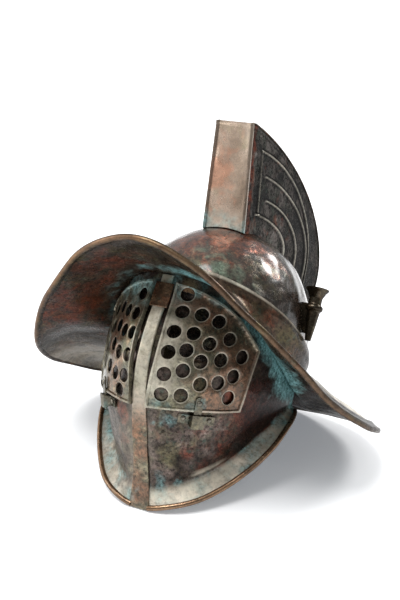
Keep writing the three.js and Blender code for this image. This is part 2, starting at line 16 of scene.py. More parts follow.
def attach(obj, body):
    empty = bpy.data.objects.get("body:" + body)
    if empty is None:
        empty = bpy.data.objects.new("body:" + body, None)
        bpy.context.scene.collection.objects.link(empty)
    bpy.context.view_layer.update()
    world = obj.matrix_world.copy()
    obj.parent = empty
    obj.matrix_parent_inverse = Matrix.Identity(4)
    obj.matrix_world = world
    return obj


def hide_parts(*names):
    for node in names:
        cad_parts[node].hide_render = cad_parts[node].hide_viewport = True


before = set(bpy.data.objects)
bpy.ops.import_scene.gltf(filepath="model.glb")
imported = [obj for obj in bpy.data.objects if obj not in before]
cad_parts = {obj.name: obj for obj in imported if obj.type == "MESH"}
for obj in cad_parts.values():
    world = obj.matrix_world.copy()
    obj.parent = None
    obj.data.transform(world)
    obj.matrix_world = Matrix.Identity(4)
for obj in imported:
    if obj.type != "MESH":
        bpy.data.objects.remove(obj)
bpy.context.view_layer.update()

# Sizes, the same as in the solid model
TILT = math.radians(21.1)
CENTRE = np.array([0.0, -33.69, 134.94])
SHEET = 1.6
GAP = 0.3
SIDE, LENGTH, HEIGHT = 99.0, 115.0, 106.0
VISOR_BACK = -5.0
GRILLE_LIFT = 2.4
BAND_LIFT = 1.2
HOLE_RADIUS = 7.2
VISOR_FIRST, VISOR_LAST = 0.4, 102.0
CREST_HALF, CREST_LEAN, CREST_BASE, CREST_TOP = 24.6, 0.026, 103.0, 215.5
CREST_FRONT = (-23.0, -37.5)
CREST_END = 0.97
ARC = Sizes(y=-73.0, z=77.0, length=301.0, height=139.0, power=1.85, share=0.74)
TAIL = Sizes(y=112.0, z=5.0)
COLLAR = Sizes(drop=5.0, rise=10.0, ease=1.4, lip=1.5)
SWELL = Sizes(height=16.0, start=50, full=70, fade=100, end=135)
PROW = Sizes(depth=18.0, round=10.0, length=42.0, back=10.0)
WINDOW = Sizes(inner=10.0, outer=46.5, low=-33.0, inset=5.0)
STAPLE = Sizes(first=22.6, last=42.2, rise=28.8, fall=36.0, middle=32.4, top=-81.5, low=-94.0, lift=7.0)
TONGUE = Sizes(turn=31.6, half=1.9, top=-64.5, low=-95.5, lift=6.6, thick=1.2, round=3.2)
CLIP = Sizes(half=9.6, low=15.0, top=38.0, thick=1.2, curl=0.01)
ROLL = Sizes(out=2.6, drop=-0.8, radius=3.2, turn=128)
SHARP = math.radians(38)

# Brim sections by angle from the front: rim radius and height, root radius and height, collar height
RIM, RIM_Z, ROOT, ROOT_Z, COLLAR_Z = 1, 2, 3, 4, 5
BRIM = [
    (0, 211, 73, 131, 48, 52), (15, 207, 58, 128, 46, 50), (30, 197.5, 23, 123, 33, 44),
    (46, 191, -13, 118, 5, 34), (62, 188, -47, 109, -22, 21), (80, 187.5, -68, 103.5, -46, 4),
    (95, 187, -76.5, 103, -58, -9), (110, 185, -82.5, 106, -66, -20), (125, 175, -83.5, 110, -70, -30),
    (140, 159, -84, 115, -73, -37), (160, 144, -86.4, 119, -76, -42), (180, 139, -84.5, 120, -76, -44),
]
# Shares of the brim section at the rim, the root, the collar's foot and the collar's top
BRIM_KNOTS = (0.0, 0.55, 0.9, 1.0)
# Cheek plate sections by height: reach forward, half width
REACH, HALF = 1, 2
VISOR = [
    (-195, 108, 48), (-187, 111, 52), (-160, 120, 62), (-125, 133, 77), (-88, 145, 90), (-60, 150, 95),
    (-30, 149, 96), (0, 141, 95), (20, 134, 94), (45, 129, 92), (60, 127, 91),
]
# Cheek plate edges by turn from the middle: heights of top, crease and lower rim, flare of the flange
TOP, CREASE, LOWER, FLARE = 1, 2, 3, 4
EDGES = [
    (0, 52, -160, -185.5, 3), (20, 50, -157, -179.5, 9), (40, 38, -147.5, -168.5, 16),
    (55, 14, -134, -152, 19), (67, -8, -117, -131, 20), (76, -25, -99, -110, 19),
    (85, -38, -81, -90, 14), (95, -47, -71, -80, 8), (102, -52, -66, -75, 4),
]
# Eye plate by turn: heights of its top and bottom; turns of its sides at the bottom and the top
PLATE_TOP, PLATE_LOW = 1, 2
GRILLE = [(0, 40, -82), (21.5, 34, -80), (41, 17, -78), (55, -8, -75.5), (60, -21, -74.5)]
GRILLE_INNER = (4.4, 6.3)
GRILLE_OUTER = (54.0, 58.0)
# Steps of the eye plate's border: inset from top and bottom in mm, from the sides in degrees
BORDER = ((0, 0), (0.5, 0.25), (1.5, 0.8), (2.3, 1.2), (3.2, 1.7))
STRETCH = np.array([1.9, 1.0])
# Strip over the joint by height: half width
BAND = [(-187, 11), (-165, 9.2), (-140, 8.3), (-110, 8.1), (-80, 7.3), (-30, 6.6), (40, 6.2)]
# Round holes of each eye plate: turn, height
HOLES = {
    "left": [
        (13.5, 29.4), (13.3, 12.1), (23.4, 12.3), (32.9, 8.2), (12.2, -7.4), (21.9, -6.3), (30.9, -13.9),
        (40.4, -6.9), (12, -26.9), (20.5, -22.8), (28.6, -31.5), (38.3, -27.5), (49, -22.4), (12.1, -47.6),
        (20.9, -42), (30.4, -52.6), (39.2, -49.3), (46.4, -41.6), (12.1, -67), (22.1, -65.5), (46, -62.6),
    ],
    "right": [
        (14.3, 22.5), (14.4, 2.8), (22.8, 4.4), (31.4, 6.4), (41, 1.5), (12, -15.6), (20.4, -15.3),
        (28.6, -12.4), (37.6, -15), (47.5, -13), (11.6, -36.7), (20.7, -36.5), (29.2, -31.2), (39.4, -33.5),
        (49.6, -30.5), (11.7, -56.6), (20.6, -57), (30, -53), (40.3, -51), (15.2, -71.6), (47.8, -61.5),
    ],
}
# Rivets: name, turn, height, lift off the plate, radius
RIVETS = (
    ("staple_rivet_inner_", 25.4, -87.0, 2.3, 2.5),
    ("staple_rivet_outer_", 39.4, -87.0, 2.3, 2.5),
    ("tongue_rivet_", 31.6, -70.0, 7.2, 2.6),
)
# Rivet head in shares of its radius: radius, height
RIVET_HEAD = ((0.96, -0.02), (1.0, 0.08), (0.94, 0.25), (0.78, 0.42), (0.52, 0.55), (0.22, 0.61))
# Plume holder along its axis: distance, outer radius, bore radius
PLUME = [
    (0, 3.2, 0.6), (16, 5.4, 3.6), (30, 7.0, 5.2), (31.4, 7.2, 5.3), (33, 9.2, 5.4), (35, 9.6, 5.5),
    (37, 9.2, 5.6), (38.6, 7.2, 5.6), (40, 6.9, 5.6), (46, 7.2, 5.6), (52, 10.2, 8.2), (54.5, 12.2, 9.8),
    (56, 12.7, 11.2),
]
PLUME_TIP, PLUME_MOUTH, PLUME_BORE = (106.4, -3.0, 1.0), (104.4, 7.5, 54.0), 16.0
LUG = Sizes(y=(-1.7, 4.7), z=(8.0, 40.0), middle=24.0, out=6.5)
# Raised lines of a crest side: centre y and z, reach back, rise, start y
RIDGES = [(-8, 84, 186, 108, -8), (0, 85, 170, 82, 9), (15, 88, 117, 54, 20), (0, 90, 93, 34, -4)]
# Upright raised line of a crest side: y at its top, its top and foot, its lean
UPRIGHT = Sizes(y=-8.0, top=192.0, foot=120.0, lean=0.149)

# Unevenness of the sheets: height, seed, wave length
UNEVEN = {
    "skull": [(0.4, 3, 38), (0.16, 4, 15)],
    "brim": [(0.7, 11, 70)],
    "brim_binding": [(0.25, 5, 45)],
    "visor": [(0.5, 21, 42)],
    "grille": [(0.3, 31, 30)],
    "centre_band": [(0.22, 41, 24)],
    "crest_front": [(0.35, 51, 34)],
    "crest_side": [(0.25, 61, 40)],
}
# Stains and painted light: x, y, z, radius, weight
# Besides stains, three rows are painted light: a painted highlight on the collar, a painted reflection under
# the brim and a painted shadow in a hole of the cheek plate.
STAINS_AND_PAINTED_LIGHT = {
    "skull red": [
        (10, -45, 98, 36, 0.6), (-30, -60, 80, 34, 0.55), (50, -30, 82, 26, 0.45), (20, -85, 55, 24, 0.35),
    ],
    "skull dark": [(85, -30, 25, 34, 0.7), (60, -75, 30, 32, 0.65)],
    "skull green": [
        (20, -88, 62, 24, 0.5), (50, -75, 48, 22, 0.5), (84, -40, 22, 18, 0.35), (-5, -70, 82, 16, 0.35),
    ],
    "brim red": [(-120, -120, 10, 55, 0.45), (-60, -170, 60, 40, 0.4), (90, -160, 30, 30, 0.3)],
    "brim underside painted reflection": [(-140, 20, -80, 40, 0.38), (-175, -20, -72, 30, 0.2)],
    "collar painted highlight": [(62, -92, 42, 24, 0.5)],
    "visor green": [
        (20, -150, -96, 14, 1.3), (22, -118, -150, 14, 1.2),
        (100, -20, -50, 26, 1.6), (34, -135, -92, 9, 1.3),
    ],
    "visor red": [
        (-25, -140, -95, 11, 1.0), (84, -70, -72, 34, 0.75), (60, -88, -128, 20, 0.35),
        (95, -30, -75, 28, 0.7), (14, -150, -105, 14, 0.4), (40, -110, -120, 14, 0.2),
    ],
    # Painted shadow: a dark spot in place of a hole in the flange beside the strip.
    "visor painted hole shadow": [(27.5, -125.5, -165.7, 3.2, 1.2)],
    "visor bright": [(23, -134, 34, 9, 1.6)],
    "grille green": [(12, -148, -75, 14, 0.3), (50, -125, -78, 16, 0.3)],
    "grille red": [
        (20, -140, 30, 14, 0.9), (76, -95, -45, 30, 0.9), (60, -110, -66, 20, 0.8),
        (50, -115, 15, 34, 0.55), (-40, -130, -20, 24, 0.7), (-30, -140, -60, 24, 0.5),
    ],
    "band red": [
        (0, -145, -100, 34, 0.6), (0, -120, -160, 30, 0.5),
        (-7, -145, -30, 14, 0.35), (-6, -150, -62, 12, 0.4),
    ],
    "crest red": [(25, 60, 120, 30, 0.25), (25, 30, 190, 25, 0.3)],
    "ridge red": [(0, 20, 210, 40, 0.5), (0, 150, 170, 40, 0.4)],
}


# Shapes
def hermite(s, h, v0, m0, v1, m1):
    """Cubic over a step h at share s, from value v0 with slope m0 to value v1 with slope m1."""
    near = (2 * s**3 - 3 * s**2 + 1) * v0 + (s**3 - 2 * s**2 + s) * h * m0
    return near + (3 * s**2 - 2 * s**3) * v1 + (s**3 - s**2) * h * m1


def curve(rows, column, t, flat=False):
    """Smooth value of a table's column at t: cubics with slopes from the next rows, level ends if flat."""
    k = np.array([r[0] for r in rows], float)
    v = np.array([r[column] for r in rows], float)
    m = np.empty_like(v)
    m[1:-1] = (v[2:] - v[:-2]) / (k[2:] - k[:-2])
    m[0] = 0 if flat else (v[1] - v[0]) / (k[1] - k[0])
    m[-1] = 0 if flat else (v[-1] - v[-2]) / (k[-1] - k[-2])
    t = np.clip(np.asarray(t, float), k[0], k[-1])
    i = np.clip(np.searchsorted(k, t, side="right") - 1, 0, len(k) - 2)
    h = k[i + 1] - k[i]
    return hermite((t - k[i]) / h, h, v[i], m[i], v[i + 1], m[i + 1])


def to_row(p):
    """Worn frame in millimetres to the row frame in metres: a turn about x by the tilt, then the offset."""
    p = np.asarray(p, float)
    c, s = math.cos(TILT), math.sin(TILT)
    y = p[..., 1] * c + p[..., 2] * s
    z = -p[..., 1] * s + p[..., 2] * c
    return (np.stack([p[..., 0], y, z], -1) + CENTRE) / 1000.0


def unit(v):
    """Vectors divided by their lengths."""
    return v / np.maximum(np.linalg.norm(v, axis=-1, keepdims=True), 1e-9)


def normals(p, wrap=False):
    """Unit normals of a grid, outward when the first axis crossed with the second points outward."""
    du = np.roll(p, -1, 0) - np.roll(p, 1, 0) if wrap else np.gradient(p, axis=0)
    return unit(np.cross(du, np.gradient(p, axis=1)))


def wobble(p, seed, size, waves=14):
    """Gentle seeded unevenness about one unit high: a sum of sine waves about size long."""
    rng = np.random.default_rng(seed)
    total = np.zeros(p.shape[:-1])
    for _ in range(waves):
        d = rng.normal(size=3)
        d *= 2 * math.pi / (size * rng.uniform(0.6, 1.8) * np.linalg.norm(d))
        total += np.sin(p @ d + rng.uniform(0, 6.28))
    return total / math.sqrt(waves / 2)


def uneven(p, piece, side=0):
    """Sum of a piece's rows of unevenness, seeded apart for the two sides."""
    return sum(height * wobble(p, seed + side, size) for height, seed, size in UNEVEN[piece])


def spots(p, key):
    """Soft patches of a row of the table of stains and painted light, each a bell round its centre."""
    total = np.zeros(p.shape[:-1])
    for x, y, z, r, w in STAINS_AND_PAINTED_LIGHT[key]:
        d2 = ((p - np.array([x, y, z])) ** 2).sum(-1)
        total += w * np.exp(-d2 / (r * r))
    return total


def smooth(a, b, x):
    """Smooth step from 0 at a to 1 at b."""
    s = np.clip((np.asarray(x, float) - a) / (b - a), 0, 1)
    return s * s * (3 - 2 * s)


def window(a, b, c, d, x):
    """Rises from 0 to 1 between a and b and falls back to 0 between c and d."""
    return smooth(a, b, x) * smooth(d, c, x)


def bell(x, width):
    """Bell of height 1 at 0: e to the minus square of x over width."""
    return np.exp(-((x / width) ** 2))


def add(name, data):
    """New object of the scene, at the origin and unturned."""
    obj = bpy.data.objects.new(name, data)
    bpy.context.scene.collection.objects.link(obj)
    return obj


def build(name, verts, faces, look, slot, layers):
    """One piece from worn-frame points and faces, with float layers on its points."""
    mesh = bpy.data.meshes.new(name)
    mesh.from_pydata(to_row(verts).tolist(), [], [tuple(int(i) for i in f) for f in faces])
    mesh.update()
    for key, values in layers.items():
        a = mesh.attributes.new(key, "FLOAT", "POINT")
        values = np.broadcast_to(np.asarray(values, np.float32), len(verts))
        a.data.foreach_set("value", np.ascontiguousarray(values))
    mesh.shade_smooth()
    mesh.set_sharp_from_angle(angle=SHARP)
    mesh.materials.append(look)
    obj = add(name, mesh)
    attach(obj, "root")
    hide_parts(name)


def slab(outer, inner, wrap=False, hole=None):
    """Closed sheet between two grids with rounded long edges; hole = (i0, i1, j0, j1) is left open.

    Each row of points goes along the outer grid, over the far edge, back along the inner grid and
    over the near edge.
    """
    n, m = outer.shape[:2]
    end = (outer[:, -1] + inner[:, -1]) / 2 + unit(outer[:, -1] - outer[:, -2]) * SHEET * 0.3
    start = (outer[:, 0] + inner[:, 0]) / 2 + unit(outer[:, 0] - outer[:, 1]) * SHEET * 0.3
    points = np.concatenate([outer, end[:, None], inner[:, ::-1], start[:, None]], 1).reshape(-1, 3)
    w = 2 * m + 2
    at = lambda i, k: (i % n) * w + (k % w)
    ii, kk = np.meshgrid(np.arange(n if wrap else n - 1), np.arange(w), indexing="ij")
    keep = np.ones(ii.shape, bool)
    rims = []

    def wall(path):
        """Quads from the outer to the inner grid along a path of (row, column)."""
        for (i, j), (k, l) in zip(path, path[1:]):
            rims.append((at(i, j), at(k, l), at(k, 2 * m - l), at(i, 2 * m - j)))

    if hole:
        i0, i1, j0, j1 = hole
        keep[i0:i1, j0:j1] = False
        keep[i0:i1, 2 * m - j1:2 * m - j0] = False
        wall([(i, j0) for i in range(i0, i1)] + [(i1, j) for j in range(j0, j1)]
             + [(i, j1) for i in range(i1, i0, -1)] + [(i0, j) for j in range(j1, j0 - 1, -1)])
    if not wrap:
        last = (n - 1) * w
        wall([(0, j) for j in range(m)])
        wall([(n - 1, j) for j in range(m - 1, -1, -1)])
        rims += [(m - 1, m, m + 1), (2 * m, w - 1, 0)]
        rims += [(last + m, last + m - 1, last + m + 1), (last + w - 1, last + 2 * m, last)]
    i, k = ii[keep], kk[keep]
    faces = np.stack([at(i, k), at(i + 1, k), at(i + 1, k + 1), at(i, k + 1)], -1).tolist() + rims
    return drop_unused(points, faces) if hole else (points, faces)


def drop_unused(points, faces):
    """Drops the points that no face uses and numbers the rest again."""
    seen = np.zeros(len(points), bool)
    for f in faces:
        seen[list(f)] = True
    to = np.cumsum(seen) - 1
    return points[seen], [tuple(to[i] for i in f) for f in faces]


def tube_faces(n, m, closed):
    """Quads between n rings of m points, joined end to end when closed."""
    i, k = np.meshgrid(np.arange(n if closed else n - 1), np.arange(m), indexing="ij")
    at = lambda a, b: ((a % n) * m + (b % m)).ravel()
    return np.stack([at(i, k), at(i, k + 1), at(i + 1, k + 1), at(i + 1, k)], -1).tolist()


def caps(n, m):
    """End faces of n rings of m points."""
    return [tuple(range(m - 1, -1, -1)), tuple(range((n - 1) * m, n * m))]


def rod(path, outs, radius, count):
    """Round rod: a circle carried along a path, squared to outs, with its ends capped."""
    ahead = unit(np.gradient(path, axis=0))
    across = unit(np.cross(ahead, outs))
    out = np.cross(across, ahead)
    t = np.linspace(0, 2 * math.pi, count, endpoint=False)[None, :, None]
    rings = path[:, None] - across[:, None] * radius * np.cos(t) + out[:, None] * radius * np.sin(t)
    return rings.reshape(-1, 3), tube_faces(len(path), count, False) + caps(len(path), count)


def turned(foot, axis, across, profile, count):
    """Turned solid: circles of the profile's (distance, radius) round an axis, capped at both ends."""
    a = np.linspace(0, 2 * math.pi, count, endpoint=False)[:, None]
    round_ = across * np.cos(a) + np.cross(axis, across) * np.sin(a)
    distance, radius = np.array(profile).T[:, :, None, None]
    points = foot + axis * distance + radius * round_
    return points.reshape(-1, 3), tube_faces(len(profile), count, False) + caps(len(profile), count)


def mirrored(grid, side):
    """A grid of the wearer's left side, or its mirror image with the rows in the other order."""
    return grid if side > 0 else grid[::-1] * np.array([-1, 1, 1])


def mirrored_mesh(points, faces, side):
    """Points and faces of the wearer's left side, or their mirror image with the faces turned."""
    if side > 0:
        return points, faces
    return points * np.array([-1, 1, 1]), [tuple(f)[::-1] for f in faces]


# Materials
VERDIGRIS = (0.045, 0.085, 0.066)
FLECKS = ((0.15, 0.115, 0.05), (0.06, 0.10, 0.075))
PALE_TONES = ((0.70, 0.67, 0.55), (0.82, 0.73, 0.60))
RUBBED_DIRT = (0.26, 0.22, 0.15)
COPPER_BRIGHT = (0.36, 0.21, 0.12)
TEAL = ((0.022, 0.062, 0.062), (0.20, 0.41, 0.42))
MOSS = ((0.030, 0.046, 0.026), (0.17, 0.25, 0.17))
# Noises of the patina: scale, detail, roughness, twist
NOISES = {
    "broad": (24.0, 5.0, 0.62, 0.6),
    "other": (37.0, 5.0, 0.62, 0.4),
    "patch": (52.0, 5.0, 0.62, 0.5),
    "stain": (68.0, 2.5, 0.5, 0.3),
    "crust": (88.0, 6.0, 0.72, 0.3),
    "cloud": (105.0, 5.0, 0.66, 0.3),
    "fine": (270.0, 6.0, 0.72, 0.0),
    "pock": (430.0, 3.0, 0.55, 0.0),
    "grit": (950.0, 3.0, 0.6, 0.0),
}


def plug(tree, value, socket):
    """Links a socket to another one, or sets it to a number or a colour."""
    if isinstance(value, bpy.types.NodeSocket):
        tree.links.new(value, socket)
    elif np.isscalar(value) or socket.type != "RGBA":
        socket.default_value = value
    else:
        socket.default_value = (*value, 1)


def node(tree, kind, inputs, **settings):
    """New shader node with its settings made and its inputs set or linked."""
    n = tree.nodes.new("ShaderNode" + kind)
    for key, value in settings.items():
        setattr(n, key, value)
    for key, value in inputs.items():
        plug(tree, value, n.inputs[key])
    return n


def ramp(tree, source, *stops):
    """Grey ramp of a value through stops of (position, level)."""
    r = node(tree, "ValToRGB", {"Fac": source})
    e = r.color_ramp.elements
    while len(e) < len(stops):
        e.new(0.5)
    for k, (position, level) in zip(e, stops):
        k.position = position
        k.color = (level, level, level, 1)
    return r.outputs["Color"]


def mix(tree, share, a, b, kind="MIX"):
    """Colour a with a share of colour b laid over it."""
    inputs = {"Factor": share, "A": a, "B": b}
    return node(tree, "Mix", inputs, data_type="RGBA", blend_type=kind).outputs["Result"]


def calc(tree, kind, *values, clamp=False):
    """One step of arithmetic on sockets and numbers."""
    inputs = dict(enumerate(values))
    return node(tree, "Math", inputs, operation=kind, use_clamp=clamp).outputs[0]


def metal(name, dark, mid, warm, olive, rough=(0.2, 0.42), metallic=0.92, hammer=0.5, cell=70.0,
          speck=0.75, coat=0.3, edge=0.5, fleck=0.35, grain=1.0, rust=0.58, verdigris=0.45,
          gloss=0.14, tarnish=TEAL):
    """Patinated sheet metal: mottled tones, patches, stains and painted light from the point layers, and
    hammer marks.
    """
    mat = bpy.data.materials.new(name)
    mat.use_nodes = True
    t = mat.node_tree
    t.nodes.clear()
    co = node(t, "TexCoord", {}).outputs["Object"]

    def noise(key):
        """A noise of the table."""
        settings = zip(("Scale", "Detail", "Roughness", "Distortion"), NOISES[key])
        return node(t, "TexNoise", {"Vector": co, **dict(settings)}).outputs["Fac"]

    def layer(key):
        """A point layer of the piece, 0 where it has none."""
        return node(t, "Attribute", {}, attribute_name=key).outputs["Fac"]

    def shade(colour, share):
        """A colour times a share."""
        return tuple(c * share for c in colour)

    broad, other, patch, stain, crust, cloud, fine, pock, grit = [noise(key) for key in NOISES]

    # Ground tones, rust, dark specks and grain
    base = mix(t, ramp(t, broad, (0.36, 0.0), (0.64, 1.0)), dark, mid)
    base = mix(t, ramp(t, other, (0.5, 0.0), (0.66, 0.8)), base, olive)
    red = calc(t, "ADD", calc(t, "MULTIPLY", layer("red"), 0.6), calc(t, "SUBTRACT", patch, rust))
    base = mix(t, ramp(t, red, (0.0, 0.0), (0.22, 0.9)), base, warm)
    base = mix(t, ramp(t, fine, (0.34, speck), (0.52, 0.0)), base, shade(dark, 0.35))
    for source, gain in ((cloud, 3.4 * grain), (fine, 2.6 * grain)):
        tone = calc(t, "MULTIPLY_ADD", source, gain, 1.0 - gain / 2)
        base = mix(t, 1.0, base, calc(t, "MAXIMUM", tone, 0.15), "MULTIPLY")

    # Verdigris crust and small flecks
    base = mix(t, ramp(t, crust, (0.57, 0.0), (0.66, verdigris)), base, VERDIGRIS)
    fleck_tone = mix(t, ramp(t, other, (0.42, 0.0), (0.58, 1.0)), *FLECKS)
    base = mix(t, ramp(t, pock, (0.6, 0.0), (0.68, fleck)), base, fleck_tone)

    # Pale metal, bright copper, darkening and green stains where the point layers put them: pale is rubbed
    # patina and painted highlights and reflections, bright is worn copper and painted highlights, dark is
    # dirt and painted shade
    pale = calc(t, "MULTIPLY", layer("pale"), ramp(t, patch, (0.3, 0.4), (0.55, 1.0)), clamp=True)
    pale_tone = mix(t, ramp(t, other, (0.38, 0.0), (0.62, 1.0)), *PALE_TONES)
    pale_tone = mix(t, ramp(t, fine, (0.36, 0.4), (0.5, 0.0)), pale_tone, RUBBED_DIRT)
    base = mix(t, pale, base, pale_tone)
    bright = calc(t, "MULTIPLY", layer("bright"), ramp(t, other, (0.3, 0.25), (0.62, 1.0)), clamp=True)
    base = mix(t, bright, base, COPPER_BRIGHT)
    base = mix(t, layer("dark"), base, shade(dark, 0.15))
    green = calc(t, "MULTIPLY_ADD", calc(t, "SUBTRACT", stain, 0.52), 1.25, layer("green"))
    green = calc(t, "MULTIPLY", green, calc(t, "GREATER_THAN", layer("green"), 0.02))
    green = ramp(t, green, (0.3, 0.0), (0.85, 0.85))
    teal = mix(t, ramp(t, fine, (0.38, 0.0), (0.62, 1.0)), *tarnish)
    teal = mix(t, ramp(t, pock, (0.55, 0.0), (0.63, 0.6)), teal, shade(tarnish[1], 1.6))

    # Shine: less metallic and rougher where green or pale
    shine = calc(t, "MULTIPLY_ADD", green, -0.8, metallic)
    shine = calc(t, "MULTIPLY_ADD", pale, -0.6, shine, clamp=True)
    roughness = ramp(t, fine, (0.3, rough[1]), (0.68, rough[0]))
    roughness = mix(t, pale, roughness, (0.45, 0.45, 0.45))

    # Hammer marks and grain as fine relief
    dents = node(t, "TexVoronoi", {"Vector": co, "Scale": cell, "Smoothness": 0.7}, feature="SMOOTH_F1")
    height = calc(t, "MULTIPLY", dents.outputs["Distance"], hammer)
    for source, weight in ((patch, 0.5 * hammer + 0.1), (fine, 0.12), (grit, 0.03), (green, 0.12)):
        height = calc(t, "MULTIPLY_ADD", source, weight, height)
    bump = node(t, "Bump", {"Strength": 0.75, "Distance": 0.0025, "Height": height})
    surface = node(t, "BsdfPrincipled", {
        "Base Color": mix(t, green, base, teal), "Metallic": shine,
        "Roughness": mix(t, green, roughness, (0.8, 0.8, 0.8)), "Specular Tint": (edge, edge, edge),
        "Coat Weight": coat, "Coat Roughness": gloss, "Normal": bump.outputs["Normal"],
    })
    node(t, "OutputMaterial", {"Surface": surface.outputs["BSDF"]})
    return mat


DOME = metal("patinated_bronze", (0.024, 0.017, 0.011), (0.088, 0.059, 0.044), (0.125, 0.036, 0.017),
             (0.068, 0.062, 0.032), (0.13, 0.34), metallic=0.5, coat=0.7, hammer=1.5, cell=50.0, edge=0.35,
             rust=0.60, grain=1.2, gloss=0.19, tarnish=MOSS)
CHEEK = metal("cheek_bronze", (0.026, 0.018, 0.014), (0.128, 0.098, 0.085), (0.098, 0.025, 0.014),
              (0.110, 0.097, 0.054), metallic=0.6, coat=0.14, edge=0.2)
BROW = metal("brim_bronze", (0.032, 0.021, 0.014), (0.082, 0.055, 0.037), (0.120, 0.030, 0.012),
             (0.070, 0.058, 0.026), metallic=0.6, hammer=0.45, coat=0.08, edge=0.18, grain=0.7, verdigris=0.3)
COPPER = metal("bright_copper", (0.06, 0.042, 0.028), (0.16, 0.105, 0.062), (0.19, 0.085, 0.042),
               (0.14, 0.115, 0.065), hammer=0.2)
CREST_COPPER = metal("crest_copper", (0.48, 0.36, 0.27), (0.62, 0.48, 0.38), (0.66, 0.36, 0.24),
                     (0.50, 0.42, 0.27), hammer=0.12, metallic=0.7, speck=0.2, fleck=0.1, grain=0.25,
                     verdigris=0.12)
PALE = metal("pale_bronze", (0.085, 0.076, 0.048), (0.235, 0.210, 0.142), (0.15, 0.066, 0.034),
             (0.145, 0.145, 0.080), metallic=0.75, hammer=0.3)
BRACKET = metal("bracket_bronze", (0.030, 0.025, 0.014), (0.076, 0.064, 0.036), (0.08, 0.036, 0.019),
                (0.070, 0.062, 0.032), hammer=0.2)
DARK = metal("dark_bronze", (0.026, 0.025, 0.024), (0.108, 0.098, 0.092), (0.11, 0.036, 0.020),
             (0.050, 0.052, 0.045), hammer=0.3, metallic=0.9, coat=0.0, edge=0.3, grain=0.6, fleck=0.15,
             rust=0.63, verdigris=0.25)
SOCKET = metal("socket_bronze", (0.012, 0.011, 0.008), (0.040, 0.035, 0.022), (0.06, 0.035, 0.018),
               (0.035, 0.032, 0.018), hammer=0.2, edge=0.2)


# Bowl
def bowl_at(angle, z):
    """Radius of the bowl: an oval in plan, narrowing above its middle by the ellipse of height."""
    plan = 1 / np.hypot(np.sin(angle) / SIDE, np.cos(angle) / LENGTH)
    return plan * np.sqrt(np.clip(1 - (np.maximum(z, 0) / HEIGHT) ** 2, 0, 1))


def polar(angle, r, z):
    """Point at an angle from the front, a radius and a height."""
    return np.stack([r * np.sin(angle), -r * np.cos(angle), z + 0 * r], -1)


def folded(angle):
    """Angle from the front in degrees, 0 to 180 on both sides."""
    d = np.degrees(np.mod(angle, 2 * math.pi))
    return np.where(d > 180, 360 - d, d)


def full_turn(count):
    """Evenly spaced angles of a full turn."""
    return np.linspace(0, 2 * math.pi, count, endpoint=False)


def make_skull():
    """Half ellipsoid on an upright skirt: radius by angle times the ellipse of height, uneven by hand."""
    skirt, below, nearly_up, crown = 0.12, 12, math.radians(89.9), 80
    a = full_turn(240)[:, None]
    v = np.linspace(0, 1, 80)[None, :]
    base = curve(BRIM, COLLAR_Z, folded(a), True) - below
    low = np.arcsin(np.clip(base, 0, None) / HEIGHT)
    z = HEIGHT * np.sin(low + (nearly_up - low) * np.clip((v - skirt) / (1 - skirt), 0, 1))
    z = np.where(v < skirt, np.minimum(base, 0) * (1 - v / skirt) + np.maximum(base, 0), z)
    p = polar(a + 0 * z, bowl_at(a, z), z)
    n = normals(p, True)
    p = p + n * (uneven(p, "skull") * smooth(HEIGHT, crown, z))[..., None]
    pts, faces = slab(p, p - n * SHEET, True)
    layers = {key: spots(pts, "skull " + key) for key in ("red", "green", "dark")}
    build("skull", pts, faces, DOME, "patinated_bronze", layers)


# Brim
def brim_at(angle, t):
    """Rim, root, collar foot and collar top joined by cubics at each angle, swollen between rim and root."""
    f = folded(angle)
    low = curve(BRIM, COLLAR_Z, f, True) - COLLAR.drop
    high = low + COLLAR.rise
    clear = GAP + SHEET
    rs = [curve(BRIM, RIM, f, True), curve(BRIM, ROOT, f, True),
          bowl_at(angle, low) + clear + COLLAR.ease, bowl_at(angle, high) + clear]
    zs = [curve(BRIM, RIM_Z, f, True), curve(BRIM, ROOT_Z, f, True), low, high]
    k = BRIM_KNOTS
    share = np.clip(t / k[1], 0, 1)
    swell = SWELL.height * window(SWELL.start, SWELL.full, SWELL.fade, SWELL.end, f)
    swell = swell * 4 * share * (1 - share)

    def through(v):
        """Cubics through four values, each slope taken from its neighbours."""
        m = [(v[b] - v[a]) / (k[b] - k[a]) for a, b in ((0, 1), (0, 2), (1, 3), (2, 3))]
        out = 0 * (v[0] + t)
        for i in range(3):
            h = k[i + 1] - k[i]
            s = np.clip((t - k[i]) / h, 0, 1)
            out = np.where(t >= k[i], hermite(s, h, v[i], m[i], v[i + 1], m[i + 1]), out)
        return out

    return polar(angle + 0 * t, through(rs), through(zs) + swell)


